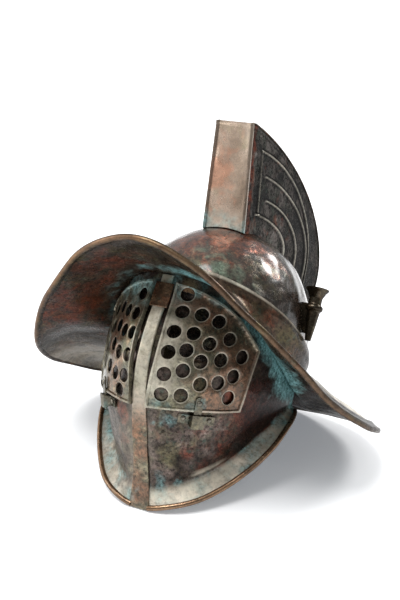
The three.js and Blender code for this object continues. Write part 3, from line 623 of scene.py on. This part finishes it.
def make_brim():
    """The brim section swept round the bowl, gently uneven away from the rim, with a thicker collar lip."""
    a = full_turn(400)[:, None]
    t = np.linspace(0, 1, 64)[None, :]
    p = brim_at(a, t)
    n = normals(p, True)
    p = p + n * (uneven(p, "brim") * window(0, 0.15, 0.4, 0.62, t))[..., None]
    thicker = COLLAR.lip * smooth(0.86, 0.92, t + 0 * a)
    pts, faces = slab(p + n * thicker[..., None], p - n * SHEET, True)
    x, y, z = pts.T
    rows, width = p.shape[:2]
    column = np.tile(np.arange(2 * width + 2), rows)
    lip = (column >= width - 2) & (column <= width)
    under = (column > width).astype(float)
    joint = np.abs(np.hypot(x / 98, (y + 8) / 132) - 1.03)
    left = smooth(-20, 60, x)
    green = under * (0.45 + 0.6 * left) * bell(joint, 0.1 + 0.08 * left)
    green = green * smooth(60, -10, y) * smooth(-85, -35, z)
    on_top = smooth(110, 150, x) * smooth(-95, -45, y) * smooth(130, 170, np.hypot(x, y))
    # The pale spots on the underside at the wearer's right are a painted reflection of the floor.
    pale = under * spots(pts, "brim underside painted reflection") + (1 - under) * 0.75 * on_top
    # Painted highlight on the collar's top lip, strongest at the front and on the wearer's left.
    pale = pale + lip * (0.22 * smooth(30, -20, y) + spots(pts, "collar painted highlight"))
    build("brim", pts, faces, BROW, "patinated_bronze",
          {"green": green, "red": under * spots(pts, "brim red"), "pale": pale})


def make_brim_binding():
    """Folded hem on both faces and a roll at the very edge, one section carried round the rim."""
    rim = brim_at(full_turn(400)[:, None], np.array([[0.0, 0.06]]))
    out = unit(rim[:, 0] - rim[:, 1])
    along = np.roll(rim[:, 0], -1, 0) - np.roll(rim[:, 0], 1, 0)
    up = unit(np.cross(along, out))
    q = np.radians(np.linspace(ROLL.turn, -ROLL.turn, 19))
    roll = np.stack([ROLL.out + ROLL.radius * np.cos(q), ROLL.drop + ROLL.radius * np.sin(q)], -1)
    hem_top = [(-9.0, -0.2), (-8.8, 0.5), (-8.3, 0.75), (-4, 0.8)]
    hem_low = [(-4, -2.4), (-8.3, -2.35), (-8.8, -2.1), (-9.0, -1.4)]
    section = np.concatenate([hem_top, roll, hem_low])
    away, rise = section.T
    p = rim[:, :1] + out[:, None] * away[None, :, None] + up[:, None] * rise[None, :, None]
    p = p + up[:, None] * uneven(p[:, :1], "brim_binding")[..., None]
    n, m = p.shape[:2]
    pts = p.reshape(-1, 3)
    x = pts[:, 0]
    turn = np.degrees(np.arctan2(rise - ROLL.drop, np.maximum(away - ROLL.out, -3.0)))
    # Bright copper along the roll's outer face: worn edge and painted highlight, stronger on the wearer's
    # right.
    worn = np.tile(bell(turn - 10, 42) * smooth(-1, 1, away), n)
    top = np.tile(smooth(-0.5, 0.2, rise) * smooth(3.5, 2, away), n) * smooth(110, 150, x)
    hem = np.tile(smooth(0.5, -1.5, away), n)
    build("brim_binding", pts, tube_faces(n, m, True), BROW, "bright_copper",
          {"bright": worn * (0.6 - 0.35 * smooth(-20, 60, x)), "pale": top, "dark": (1 - top) * 0.5 * hem})


# Cheek plates
def visor_at(turn, z, lift=0.0):
    """Half oval in plan at each height, drawn forward to a rounded prow, moved out by lift."""
    share = window(-150, -10, -5, 95, z)
    f = curve(VISOR, REACH, z) + VISOR_BACK - PROW.back * share
    w = curve(VISOR, HALF, z)
    a = np.radians(turn)
    x = w * np.sin(a)
    nose = share * PROW.depth * np.exp((PROW.round - np.hypot(x, PROW.round)) / PROW.length)
    p = np.stack([x, VISOR_BACK - f * np.cos(a) - nose, z + 0 * a], -1)
    o = unit(np.stack([np.sin(a) / w, -np.cos(a) / f, 0 * (a + z)], -1))
    return p + o * np.asarray(lift)[..., None]


def visor_steps(turn, z):
    """Steps over the cheek plate for one degree of turn and for one millimetre of height."""
    across = visor_at(turn + 0.5, z) - visor_at(turn - 0.5, z)
    return across, visor_at(turn, z + 0.5) - visor_at(turn, z - 0.5)


def visor_normal(turn, z):
    """Outward unit normal of the cheek plate."""
    return unit(np.cross(*visor_steps(turn, z)))


def visor_off(turn, z, lift):
    """Point lifted off the cheek plate along its normal."""
    return visor_at(turn, z) + visor_normal(turn, z) * np.asarray(lift)[..., None]


def edge(column, turn):
    """Value of the table of cheek plate edges at a turn to either side."""
    return curve(EDGES, column, np.abs(turn))


def flange_at(turn, s):
    """Flange from the crease at s = 0 to the lower rim at s = 1, flaring out by the square of s."""
    z = edge(CREASE, turn) + (edge(LOWER, turn) - edge(CREASE, turn)) * s
    return visor_at(turn, z, edge(FLARE, turn) * s * s)


def visor_top(turn):
    """Height where the cheek plate meets the underside of the brim, found by going back and forth."""
    limit = edge(TOP, turn)
    z = limit
    t = np.linspace(0.05, 0.88, 240)[None, :]
    for _ in range(4):
        p = visor_at(turn, z)
        r, a = np.hypot(p[:, 0], p[:, 1]), np.arctan2(p[:, 0], -p[:, 1])
        brim = brim_at(a[:, None], t)
        gap = np.abs(np.hypot(brim[..., 0], brim[..., 1]) - r[:, None])
        k = gap.argmin(1)
        found = brim[np.arange(len(k)), k, 2] - SHEET * 1.3
        z = np.where(gap.min(1) < 1.5, np.minimum(limit, found), limit)
    return z


def visor_grid():
    """Points of the left cheek plate, flange first, and the columns and rows of its eye window."""
    inner, outer = WINDOW.inner, WINDOW.outer
    fore, eye, rear = 11, 59, 66
    turns = np.concatenate([np.linspace(VISOR_FIRST, inner, fore + 1)[:-1],
                            np.linspace(inner, outer, eye + 1)[:-1], np.linspace(outer, VISOR_LAST, rear)])
    top, crease = visor_top(turns), edge(CREASE, turns)
    past = smooth(outer, 66, turns)
    low = (1 - past) * WINDOW.low + past * (crease + (top - crease) * 0.5)
    eye_top = curve(GRILLE, PLATE_TOP, turns) - WINDOW.inset
    high = (1 - past) * eye_top + past * (crease + (top - crease) * 0.85)
    high = np.minimum(high, top - 0.5)
    flange = flange_at(turns[:, None], np.linspace(1, 0, 20)[None, :-1])
    spans = ((crease, low, np.linspace(0, 1, 36)[:-1]), (low, high, np.linspace(0, 1, 40)[:-1]),
             (high, top, np.linspace(0, 1, 16)))
    z = np.concatenate([a[:, None] + (b - a)[:, None] * s[None, :] for a, b, s in spans], 1)
    p = np.concatenate([flange, visor_at(turns[:, None] + 0 * z, z)], 1)
    first = flange.shape[1] + len(spans[0][2])
    return turns, p, (fore, fore + eye), (first, first + len(spans[1][2]))


def make_visor(side, word):
    """Plate from the brim to the crease and the out-turned flange below it, with the eye window open."""
    turns, p, columns, rows = visor_grid()
    n = normals(p)
    fade = smooth(0, 6, turns)[:, None] * smooth(0, 8, np.arange(p.shape[1]))[None]
    p = p + n * (uneven(p, "visor", side) * fade)[..., None]
    if side < 0:
        last = len(turns) - 1
        columns = (last - columns[1], last - columns[0])
    pts, faces = slab(mirrored(p, side), mirrored(p - n * SHEET, side), False, (*columns, *rows))
    x, y, z = pts.T
    across = np.abs(x) / np.maximum(curve(VISOR, HALF, z), 1)
    turn = np.degrees(np.arctan2(across, -(y - VISOR_BACK) / (curve(VISOR, REACH, z) + VISOR_BACK)))
    crease = edge(CREASE, turn)
    on_flange = smooth(3, -4, z - crease)
    down = (crease - z) / (crease - edge(LOWER, turn))
    pale = (0.95 if side > 0 else 0.34) * smooth(0.1, 0.6, down) * (0.7 + 0.3 * smooth(70, 40, turn))
    pale = pale * smooth(104, 96, turn) + 0.12 * smooth(14, 4, turn) * smooth(-70, -100, z)
    # Painted highlight: a pale line along the crease above the flange.
    pale = pale + 0.9 * bell(z - crease - 1, 2.2) * window(36, 44, 52, 62, turn)
    if side < 0:
        pale = pale + 0.12 * smooth(-70, -110, z)
    bright = np.minimum(spots(pts, "visor bright"), 1)
    below_brim = smooth(-34, -3, z - visor_top(np.clip(turn, VISOR_FIRST, VISOR_LAST)))
    joint = 0.45 + (0.55 * smooth(40, 60, turn) if side > 0 else 0)
    green = joint * below_brim + 0.3 * spots(pts, "visor green")
    green = green + on_flange * ((0.3 if side > 0 else 0.38) + 0.2 * smooth(50, 75, turn))
    # Painted shade: darker towards the back of the plate under the brim, above the flange.
    dark = 0.8 * smooth(44, 70, turn) * (1 - on_flange) + spots(pts, "visor painted hole shadow")
    red = spots(pts, "visor red")
    build("visor_" + word, pts, faces, CHEEK, "patinated_bronze",
          {"pale": pale, "green": green * (1 - bright), "red": red, "dark": dark, "bright": bright})


def make_visor_binding(side, word):
    """Copper roll along the lower rim of the flange."""
    radius, out_by = 2.8, 2.6 + GAP * 0.3
    turns = np.linspace(8.5, 101.5, 160)
    rim = flange_at(turns, 1.0)
    path = rim + unit(rim - flange_at(turns, 0.9)) * out_by
    outs = visor_normal(turns, edge(LOWER, turns))
    pts, faces = rod(mirrored(path, side), mirrored(outs, side), radius, 14)
    build("visor_binding_" + word, pts, faces, COPPER, "bright_copper", {"bright": 0.6})


# Eye plates
def inside(poly, q):
    """Even-odd test of points q in a polygon."""
    x, y = q.T
    hit = np.zeros(len(q), bool)
    for (x0, y0), (x1, y1) in zip(poly, np.roll(poly, -1, 0)):
        if y0 != y1:
            hit ^= ((y0 > y) != (y1 > y)) & (x < (x1 - x0) * (y - y0) / (y1 - y0) + x0)
    return hit


def plate_map(u, v, tall, wide):
    """Turn and height at shares u across and v up the eye plate, inset by tall and wide."""
    outer = GRILLE_OUTER[0] + (GRILLE_OUTER[1] - GRILLE_OUTER[0]) * v - wide
    inner = GRILLE_INNER[0] + (GRILLE_INNER[1] - GRILLE_INNER[0]) * smooth(0, 0.5, v) + wide
    turn = inner + (outer - inner) * u
    low = curve(GRILLE, PLATE_LOW, turn) + tall
    high = curve(GRILLE, PLATE_TOP, turn) - tall
    return np.stack([turn, low + (high - low) * v], -1)


def plate_border(tall, wide, steps=40):
    """Closed border of the eye plate: bottom, outer side, top, inner side."""
    q = np.linspace(0, 1, steps + 1)
    there, back, zero = q[:-1], q[:0:-1], 0 * q[:-1]
    sides = ((there, zero), (1 + zero, there), (back, 1 + zero), (zero, back))
    return np.concatenate([plate_map(u, v, tall, wide) for u, v in sides])


def plate_triangles(word):
    """Triangles of the unrolled eye plate round its holes, with its points and its outer border."""
    borders = [plate_border(tall, wide) * STRETCH for tall, wide in BORDER]
    holes, bores = [], []
    a = full_turn(30)
    for turn, z in HOLES[word]:
        per, steep = [np.linalg.norm(step) for step in visor_steps(turn, z)]
        for r in (HOLE_RADIUS - 0.35, HOLE_RADIUS, HOLE_RADIUS + 0.9):
            holes.append(np.stack([turn + r / per * np.cos(a), z + r / steep * np.sin(a)], -1) * STRETCH)
        bores.append(holes[-3])
    edges, start = [], 0
    for loop in borders + holes:
        k = len(loop)
        edges += [(start + i, start + (i + 1) % k) for i in range(k)]
        start += k
    gx, gy = np.meshgrid(np.arange(8, 60, 1.7), np.arange(-80, 42, 3.2))
    fill = np.stack([gx.ravel(), gy.ravel()], -1) * STRETCH
    keep = inside(borders[-1], fill)
    for hole in HOLES[word]:
        keep &= np.linalg.norm(fill - hole * STRETCH, axis=1) > HOLE_RADIUS + 2.2
    flat = np.concatenate(borders + holes + [fill[keep]])
    result = delaunay_2d_cdt([Vector(p) for p in flat], edges, [], 0, 1e-4)
    points = np.array([tuple(p) for p in result[0]])
    tris = np.array([f for f in result[2] if len(f) == 3])
    middle = points[tris].mean(1)
    ok = inside(borders[0], middle)
    for bore in bores:
        ok &= ~inside(bore, middle)
    tris = tris[ok]
    first = points[tris[:, 0]]
    (ax, ay), (bx, by) = (points[tris[:, 1]] - first).T, (points[tris[:, 2]] - first).T
    back = ax * by - ay * bx < 0
    tris[back] = tris[back][:, ::-1]
    return points, tris, borders[0]


def make_grille(side, word):
    """Eye plate triangulated round its holes in the unrolled plane, then bent over the cheek plate."""
    flat, tris, border = plate_triangles(word)
    turn, z = flat[:, 0] / STRETCH[0], flat[:, 1]
    to_border = np.linalg.norm(flat[:, None] - border[None], axis=2)
    near, near_inner = to_border.min(1), to_border[:, 120:].min(1)
    raised = np.maximum(1.8 * window(-0.3, 0.5, 2.4, 3.4, near), 3.2 * smooth(2.7, 1.4, near_inner))
    hole_edge = np.full(len(flat), np.inf)
    for h_turn, h_z in HOLES[word]:
        per, steep = [np.linalg.norm(step) for step in visor_steps(h_turn, h_z)]
        hole_edge = np.minimum(hole_edge, np.hypot((turn - h_turn) * per, (z - h_z) * steep) - HOLE_RADIUS)
    lip = -0.45 * smooth(0.75, -0.3, hole_edge)
    top = visor_off(turn, z, GRILLE_LIFT + SHEET + raised + lip)
    top = top + visor_normal(turn, z) * uneven(top, "grille", side)[:, None]
    low = visor_off(turn, z, GRILLE_LIFT + 0 * z)
    n = len(flat)
    rims = {(a, b) for t in tris.tolist() for a, b in zip(t, t[1:] + t[:1])}
    walls = [(b, a, a + n, b + n) for a, b in sorted(rims) if (b, a) not in rims]
    faces = tris.tolist() + (tris[:, ::-1] + n).tolist() + walls
    rub = (0.55 if side > 0 else 0.2) * np.maximum(smooth(0.85, 0.2, hole_edge), 0.9 * smooth(3.0, 1.6, near))
    rub = drop_unused(np.concatenate([rub, rub]), faces)[0]
    pts, faces = drop_unused(*mirrored_mesh(np.concatenate([top, low]), faces, side))
    x, _, z = pts.T
    if side > 0:
        # Painted reflection: pale near the middle of the wearer's left plate.
        pale = 0.06 + 0.7 * smooth(44, 12, np.abs(x)) * window(-80, -55, -5, 36, z)
        green = 0.12 + 0.4 * smooth(10, 36, z) + spots(pts, "grille green")
    else:
        pale = 0.06
        green = 0.15 + 0.45 * smooth(0, 30, z)
    dark = 0.3 * smooth(45, 80, np.abs(x)) + 0.25 * smooth(0, 36, z)
    build("grille_" + word, pts, faces, PALE, "pale_bronze",
          {"pale": np.maximum(pale, rub), "green": green, "red": spots(pts, "grille red"), "dark": dark})


# Strip, clip and brackets
def bent_plate(name, grid, side, thick, look, slot, layers):
    """Sheet of one thickness behind a grid of the left side, or its mirror image."""
    p = mirrored(grid, side)
    build(name, *slab(p, p - normals(p) * thick), look, slot, layers)


def make_band():
    """Strip following the middle of the cheek plates, folded under the chin, edges slightly rounded."""
    clear = BAND_LIFT + SHEET
    middle = np.zeros(1)
    foot = flange_at(middle, 1.0)[0]
    low = flange_at(middle, 0.9)[0] + [0, -clear - 1.2, 0]
    high = flange_at(middle, 0.5)[0] + [0, -clear - 0.8, 0]
    zs = np.linspace(-158, float(visor_top(middle + VISOR_FIRST)[0]) - 0.5, 70)
    front = visor_at(0 * zs, zs, clear + 0 * zs)
    fold = [foot + [0, 2 * SHEET + 2 * GAP, 15], foot + [0, 2.4 * SHEET, 1],
            foot + [0, SHEET, -2.7], foot + [0, -2 * SHEET, -2.9], low, high]
    path = np.concatenate([np.array(fold), front])
    path[:, 0] = 0
    d = np.concatenate([[0], np.cumsum(np.linalg.norm(np.diff(path, axis=0), axis=1))])
    bend = len(fold) - 1
    fine = np.concatenate([np.linspace(0, d[bend], 60), np.linspace(d[bend], d[-1], 160)[1:]])
    y, z = np.interp(fine, d, path[:, 1]), np.interp(fine, d, path[:, 2])
    u = np.linspace(-1, 1, 25)[:, None]
    p = np.stack([u * curve(BAND, 1, z), y + 0 * u, z + 0 * u], -1)
    n = normals(p)
    p = p - n * (0.7 * np.abs(u) ** 8)[..., None]
    p = p + n * uneven(p, "centre_band")[..., None]
    pts, faces = slab(p, p - n * SHEET * 0.9)
    x, _, z = pts.T
    pale = 0.54 * window(-110, -60, -20, 40, z) + 0.06 * smooth(-60, -90, z) + 0.36 * smooth(-20, 30, z)
    green = 0.22 * smooth(-110, -150, z) + 0.3 * smooth(10, 40, z)
    green = green + 0.3 * smooth(3.5, 6.5, np.abs(x)) * smooth(-90, -60, z)
    build("centre_band", pts, faces, PALE, "pale_bronze",
          {"pale": pale, "red": spots(pts, "band red"), "green": green})


def make_clip():
    """Bronze clip over the top of the strip: a small sheet, curling back by the square of x."""
    x = np.linspace(-CLIP.half, CLIP.half, 30)[:, None]
    z = np.linspace(CLIP.low, CLIP.top, 30)[None, :]
    base = visor_at(0 * z, z, (BAND_LIFT + GAP + 2 * SHEET) + 0 * z)
    p = np.stack([x + 0 * z, base[..., 1] + CLIP.curl * x**2, z + 0 * x], -1)
    bent_plate("band_clip", p, 1, CLIP.thick, COPPER, "bright_copper", {"red": 0.1, "bright": 0.12})


def make_staple(side, word):
    """Bracket with two feet and a raised, slightly ribbed middle, bent over the tongue."""
    s = STAPLE
    turn = np.linspace(s.first, s.last, 90)[:, None]
    up = window(s.rise - 0.7, s.rise + 0.5, s.fall - 0.5, s.fall + 0.7, turn)
    trim = 2 * (1 - up)
    z = s.low + trim + (s.top - s.low - 2 * trim) * np.linspace(0, 1, 24)[None, :]
    rib = 0.3 * up * np.cos((turn - s.middle) / 3.6 * 7.0)
    lift = GAP + SHEET + up * (s.lift - GAP) + rib
    p = visor_off(turn + 0 * z, z, lift + 0 * z)
    bent_plate("staple_" + word, p, side, SHEET * 0.85, BRACKET, "pale_bronze", {"pale": 0.1, "green": 0.25})


def make_tongue(side, word):
    """Tab of the eye plate that goes down into the staple, round at its upper end."""
    s = TONGUE
    z = np.linspace(s.low, s.top, 50)[None, :]
    over = np.clip((z - s.top + s.round) / (s.round + 0.1), 0, 1)
    half = s.half * np.sqrt(np.clip(1 - over**2, 0.02, 1))
    u = np.linspace(-1, 1, 16)[:, None]
    p = visor_off(s.turn + u * half, z + 0 * u, s.lift + 0 * (u + z))
    bent_plate("tongue_" + word, p, side, s.thick, BRACKET, "pale_bronze", {"pale": 0.1, "green": 0.3})


def make_rivets(side, word):
    """Low domed heads, each a small turned profile on the plate's normal."""
    for name, turn, z, lift, r in RIVETS:
        foot = visor_off(np.array(turn), np.array(z), lift)
        out = visor_normal(np.array(turn), np.array(z))
        profile = [(height * r * 0.9, radius * r) for radius, height in RIVET_HEAD]
        pts, faces = turned(foot, out, unit(np.cross([0, 0, 1.0], out)), profile, 20)
        build(name + word, *mirrored_mesh(pts, faces, side), SOCKET, "dark_bronze", {"pale": 0.2})


def make_plume_holder(side, word):
    """Turned socket: the outer profile up to the mouth and the bore back down, with a lug to the bowl."""
    tip = np.array(PLUME_TIP)
    axis = unit(np.array(PLUME_MOUTH) - tip)
    knots, outer, bore = np.array(PLUME).T
    s = np.linspace(0, knots[-1], 90)
    back = s[::-1][s[::-1] > PLUME_BORE]
    profile = np.concatenate([np.stack([s, np.interp(s, knots, outer)], -1),
                              np.stack([back, np.interp(back, knots, bore)], -1)])
    pts, faces = turned(tip, axis, unit(np.cross([0, 1.0, 0], axis)), profile, 40)
    skin = lambda z: SIDE * math.sqrt(1 - (z / HEIGHT) ** 2) + 2 * GAP
    far = skin(LUG.middle) + LUG.out
    lug = [(far if outside else skin(z), y, z) for outside in (0, 1) for y in LUG.y for z in LUG.z]
    box = ((0, 1, 3, 2), (4, 6, 7, 5), (0, 4, 5, 1), (2, 3, 7, 6), (0, 2, 6, 4), (1, 5, 7, 3))
    faces += [tuple(len(pts) + k for k in f) for f in box]
    pts = np.concatenate([pts, lug])
    build("plume_holder_" + word, *mirrored_mesh(pts, faces, side), SOCKET, "dark_bronze", {"bright": 0.06})


# Crest
def crest_half(z):
    """Half width of the crest box, narrowing evenly upwards."""
    return CREST_HALF - CREST_LEAN * (z - CREST_BASE)


def crest_front(z):
    """Place of the front plate, leaning evenly forward."""
    return CREST_FRONT[0] + (CREST_FRONT[1] - CREST_FRONT[0]) * (z - CREST_BASE) / (CREST_TOP - CREST_BASE)


def crest_outer(s):
    """Outer edge: a flattened quarter oval from the front corner, then a quarter turn under to the bowl."""
    over = ARC.share
    e = 2 / ARC.power
    start = math.acos(((CREST_FRONT[1] - ARC.y) / ARC.length) ** (1 / e))
    a = start * (1 - np.clip(s, 0, over) / over)
    y1 = ARC.y + ARC.length * np.cos(a) ** e
    z1 = ARC.z + ARC.height * np.sin(a) ** e
    b = math.pi / 2 * np.clip((s - over) / (1 - over), 0, 1)
    y2 = TAIL.y + (ARC.y + ARC.length - TAIL.y) * np.cos(b)
    z2 = ARC.z - (ARC.z - TAIL.z) * np.sin(b)
    return np.where(s <= over, y1, y2), np.where(s <= over, z1, z2)


def crest_foot(s):
    """Line of the side sheet on the bowl: the ellipse cut 26 mm off the middle, from front to back."""
    off_middle, clear = 26, 0.8
    shrink = math.sqrt(1 - (off_middle / SIDE) ** 2)
    a = np.radians(102 - 90 * s)
    return (LENGTH * shrink + clear) * np.cos(a), (HEIGHT * shrink + clear) * np.sin(a)


def line_wear_and_shading(d, half):
    """Wear and painted light of a raised line at distance d from its middle: worn and a painted highlight on
    its back, dirt and painted shade along its sides.
    """
    return bell(d, half) - 0.9 * bell(np.abs(d) - 2.6, 1.4)


def make_crest_side(side, word):
    """Flat sheet from the bowl to the outer edge with raised quarter-oval lines and an edge seam."""
    s = np.linspace(0, CREST_END, 260)[:, None]
    t = np.linspace(0, 1, 110)[None, :]
    fy, fz = crest_foot(s)
    oy, oz = crest_outer(s)
    y = fy + (oy - fy) * t
    z = fz + (oz - fz) * t
    relief, worn = np.zeros_like(y), np.zeros_like(y)
    for cy, cz, ry, rz, y0 in RIDGES:
        q = np.hypot(np.maximum((y - cy) / ry, 0), np.maximum((z - cz) / rz, 0))
        d = np.abs(q - 1) * min(ry, rz) * 1.15
        here = smooth(y0 - 2, y0 + 2, y) * smooth(cz - 40, cz - 4, z)
        relief += 1.7 * bell(d, 1.4) * here
        worn += line_wear_and_shading(d, 1.1) * here
    d = y - (UPRIGHT.y + (UPRIGHT.top - z) * UPRIGHT.lean)
    here = window(UPRIGHT.foot, UPRIGHT.foot + 6, UPRIGHT.top - 2, UPRIGHT.top + 2, z)
    relief += 1.6 * bell(d, 1.3) * here
    worn += line_wear_and_shading(d, 1.0) * here
    reach = np.hypot(oy - fy, oz - fz) * (1 - t)
    relief += 0.7 * bell(reach - 5, 1.3) + 0.5 * smooth(3.2, 1.6, reach)
    relief += 0.6 * bell(y - crest_front(z) - 12, 1.4) * smooth(105, 112, z)
    relief += uneven(np.stack([0 * y, y, z], -1), "crest_side", side) * np.sin(math.pi * t)
    flat = crest_half(z) + 1.6 * np.sin(math.pi * t) * np.sin(math.pi * s / CREST_END)
    p, inner = np.stack([flat + relief, y, z], -1), np.stack([flat - SHEET, y, z], -1)
    pts, faces = slab(mirrored(p, side), mirrored(inner, side))
    # Pale backs and dark sides of the raised lines: wear with a painted highlight and painted shade.
    rub = np.zeros((len(p), len(pts) // len(p)))
    rub[:, :worn.shape[1]] = worn if side > 0 else worn[::-1]
    rub = rub.ravel()
    behind_front = pts[:, 1] - crest_front(pts[:, 2])
    red = 0.6 * (0.8 * smooth(14, 4, behind_front) + spots(pts, "crest red"))
    dark = 0.7 * np.maximum(-rub, 0) + 0.35 * smooth(70, 150, pts[:, 1])
    build("crest_side_" + word, pts, faces, DARK, "dark_bronze",
          {"red": red, "pale": 0.45 * np.maximum(rub, 0), "dark": dark})


def make_crest_front():
    """Upright plate from the bowl to the top, with folded side flanges and a thin top lip."""
    u = np.linspace(-1, 1, 90)[:, None]
    x = u * crest_half(CREST_BASE)
    low = HEIGHT * np.sqrt(1 - (x / SIDE) ** 2 - (CREST_FRONT[0] / LENGTH) ** 2) + 0.9
    z = low + (CREST_TOP - low) * np.linspace(0, 1, 140)[None, :]
    half = crest_half(z)
    to_side = half * (1 - np.abs(u))
    step = 0.9 * smooth(3.6, 2.9, to_side) + 0.8 * smooth(3.4, 2.6, CREST_TOP - z)
    back = crest_front(z) - 2 * GAP
    p = np.stack([u * half, back - SHEET - step, z], -1)
    p[..., 1] += uneven(p, "crest_front") * smooth(3, 8, to_side)
    pts, faces = slab(p, np.stack([u * half, back + 0 * u, z], -1))
    x, _, z = pts.T
    green = 0.6 * smooth(142, 106, z) + 0.15 * smooth(190, 212, z) * smooth(0, 20, x)
    pale = 0.35 * smooth(130, 105, z) + 0.25 * smooth(150, 210, z) * smooth(4, 20, x)
    flange = smooth(4.4, 3.2, crest_half(z) - np.abs(x))
    red = 0.45 * bell(z - 165, 34) * smooth(18, -14, x)
    build("crest_front", pts, faces, CREST_COPPER, "crest_copper",
          {"green": green, "pale": pale, "red": red, "dark": 0.75 * flange})


def make_crest_ridge():
    """Curved strip over the outer edges of the side sheets, with a low seam along each border."""
    u = np.linspace(-1, 1, 40)[:, None]
    y, z = crest_outer(np.linspace(0, CREST_END, 260)[None, :])
    p = np.stack([u * (crest_half(z) + 1.2), y + 0 * u, z + 0 * u], -1)
    n = normals(p)
    to_side = (1 - np.abs(u)) * crest_half(z)
    up = GAP + SHEET + 0.6 * bell(to_side - 3, 1.2)
    pts, faces = slab(p + n * up[..., None], p + n * GAP)
    build("crest_ridge", pts, faces, DARK, "dark_bronze", {"red": spots(pts, "ridge red"), "bright": 0.1})


# Floor, light and camera
FLOOR_HALF = 14.0
FLOOR_LOOK = {
    "Base Color": (0.93, 0.93, 0.93, 1), "Roughness": 0.9, "Specular IOR Level": 0.1,
    "Emission Color": (0.86, 0.92, 1.0, 1), "Emission Strength": 0.23,
}
# Sky light: shares of x, y and z in its brightness, then the ramp and the strength
SKY = dict(x=-0.55, y=0.2, z=0.75, ramp=((0.0, 0.3), (0.45, 0.6), (0.9, 1.0)), strength=0.95)
# Lamps in metres: name, kind, place, aim, power, sizes (of a sun, its angle)
LAMPS = (
    ("sky", "SUN", (-0.24, -0.36, 1.3), (0, 0, 0), 2.25, (math.radians(30),)),
    ("back_window", "AREA", (0.72, 1.25, 1.0), (0.06, -0.05, 0.2), 18, (0.6, 0.46)),
    ("left_box", "AREA", (-1.7, -0.7, 0.9), (0, 0, 0.1), 14, (1.0, 1.2)),
)
CAMERA = Sizes(at=(0.45212, -0.96460, 0.55296), azimuth=26.952, pitch=20.630, sensor=36.0, focal=1019.5 / 600)


def make_floor():
    """Flat pale square with a faint cool glow."""
    mesh = bpy.data.meshes.new("floor")
    r = FLOOR_HALF
    mesh.from_pydata([(-r, -r, 0), (r, -r, 0), (r, r, 0), (-r, r, 0)], [], [(0, 1, 2, 3)])
    mat = bpy.data.materials.new("pale_floor")
    mat.use_nodes = True
    for key, value in FLOOR_LOOK.items():
        mat.node_tree.nodes["Principled BSDF"].inputs[key].default_value = value
    mesh.materials.append(mat)
    obj = add("floor", mesh)


def place(name, data, at, ahead):
    """Lamp or camera at a place, looking ahead with its top upwards."""
    obj = add(name, data)
    obj.location = at
    obj.rotation_euler = ahead.to_track_quat("-Z", "Y").to_euler()
    return obj


def make_light():
    """Sky brighter above and to the viewer's left, with the lamps of the table."""
    world = bpy.data.worlds.new("studio")
    bpy.context.scene.world = world
    world.use_nodes = True
    t = world.node_tree
    background = t.nodes["Background"]
    axes = node(t, "SeparateXYZ", {"Vector": node(t, "TexCoord", {}).outputs["Generated"]})
    lean = 0.0
    for key in ("x", "y", "z"):
        lean = calc(t, "MULTIPLY_ADD", axes.outputs[key.upper()], SKY[key], lean)
    plug(t, ramp(t, lean, *SKY["ramp"]), background.inputs["Color"])
    background.inputs["Strength"].default_value = SKY["strength"]
    for name, kind, at, aim, power, sizes in LAMPS:
        data = bpy.data.lights.new(name, kind)
        data.energy = power
        if kind == "AREA":
            data.shape = "RECTANGLE"
            data.size, data.size_y = sizes
        else:
            data.angle = sizes[0]
        place(name, data, at, Vector(aim) - Vector(at))


def make_camera():
    """Camera at the photograph's angle, aimed by azimuth and pitch."""
    cam = bpy.data.cameras.new("camera")
    cam.sensor_width = CAMERA.sensor
    cam.lens = CAMERA.focal * CAMERA.sensor
    az, pitch = math.radians(CAMERA.azimuth), math.radians(CAMERA.pitch)
    ahead = Vector((-math.sin(az) * math.cos(pitch), math.cos(az) * math.cos(pitch), -math.sin(pitch)))
    bpy.context.scene.camera = place("camera", cam, CAMERA.at, ahead)


make_skull()
make_brim()
make_brim_binding()
make_crest_front()
make_crest_ridge()
make_band()
make_clip()
for word_, side_ in (("left", 1), ("right", -1)):
    make_visor(side_, word_)
    make_visor_binding(side_, word_)
    make_grille(side_, word_)
    make_staple(side_, word_)
    make_tongue(side_, word_)
    make_rivets(side_, word_)
    make_plume_holder(side_, word_)
    make_crest_side(side_, word_)
make_floor()
make_light()
make_camera()
bpy.context.scene.view_settings.view_transform = "Standard"
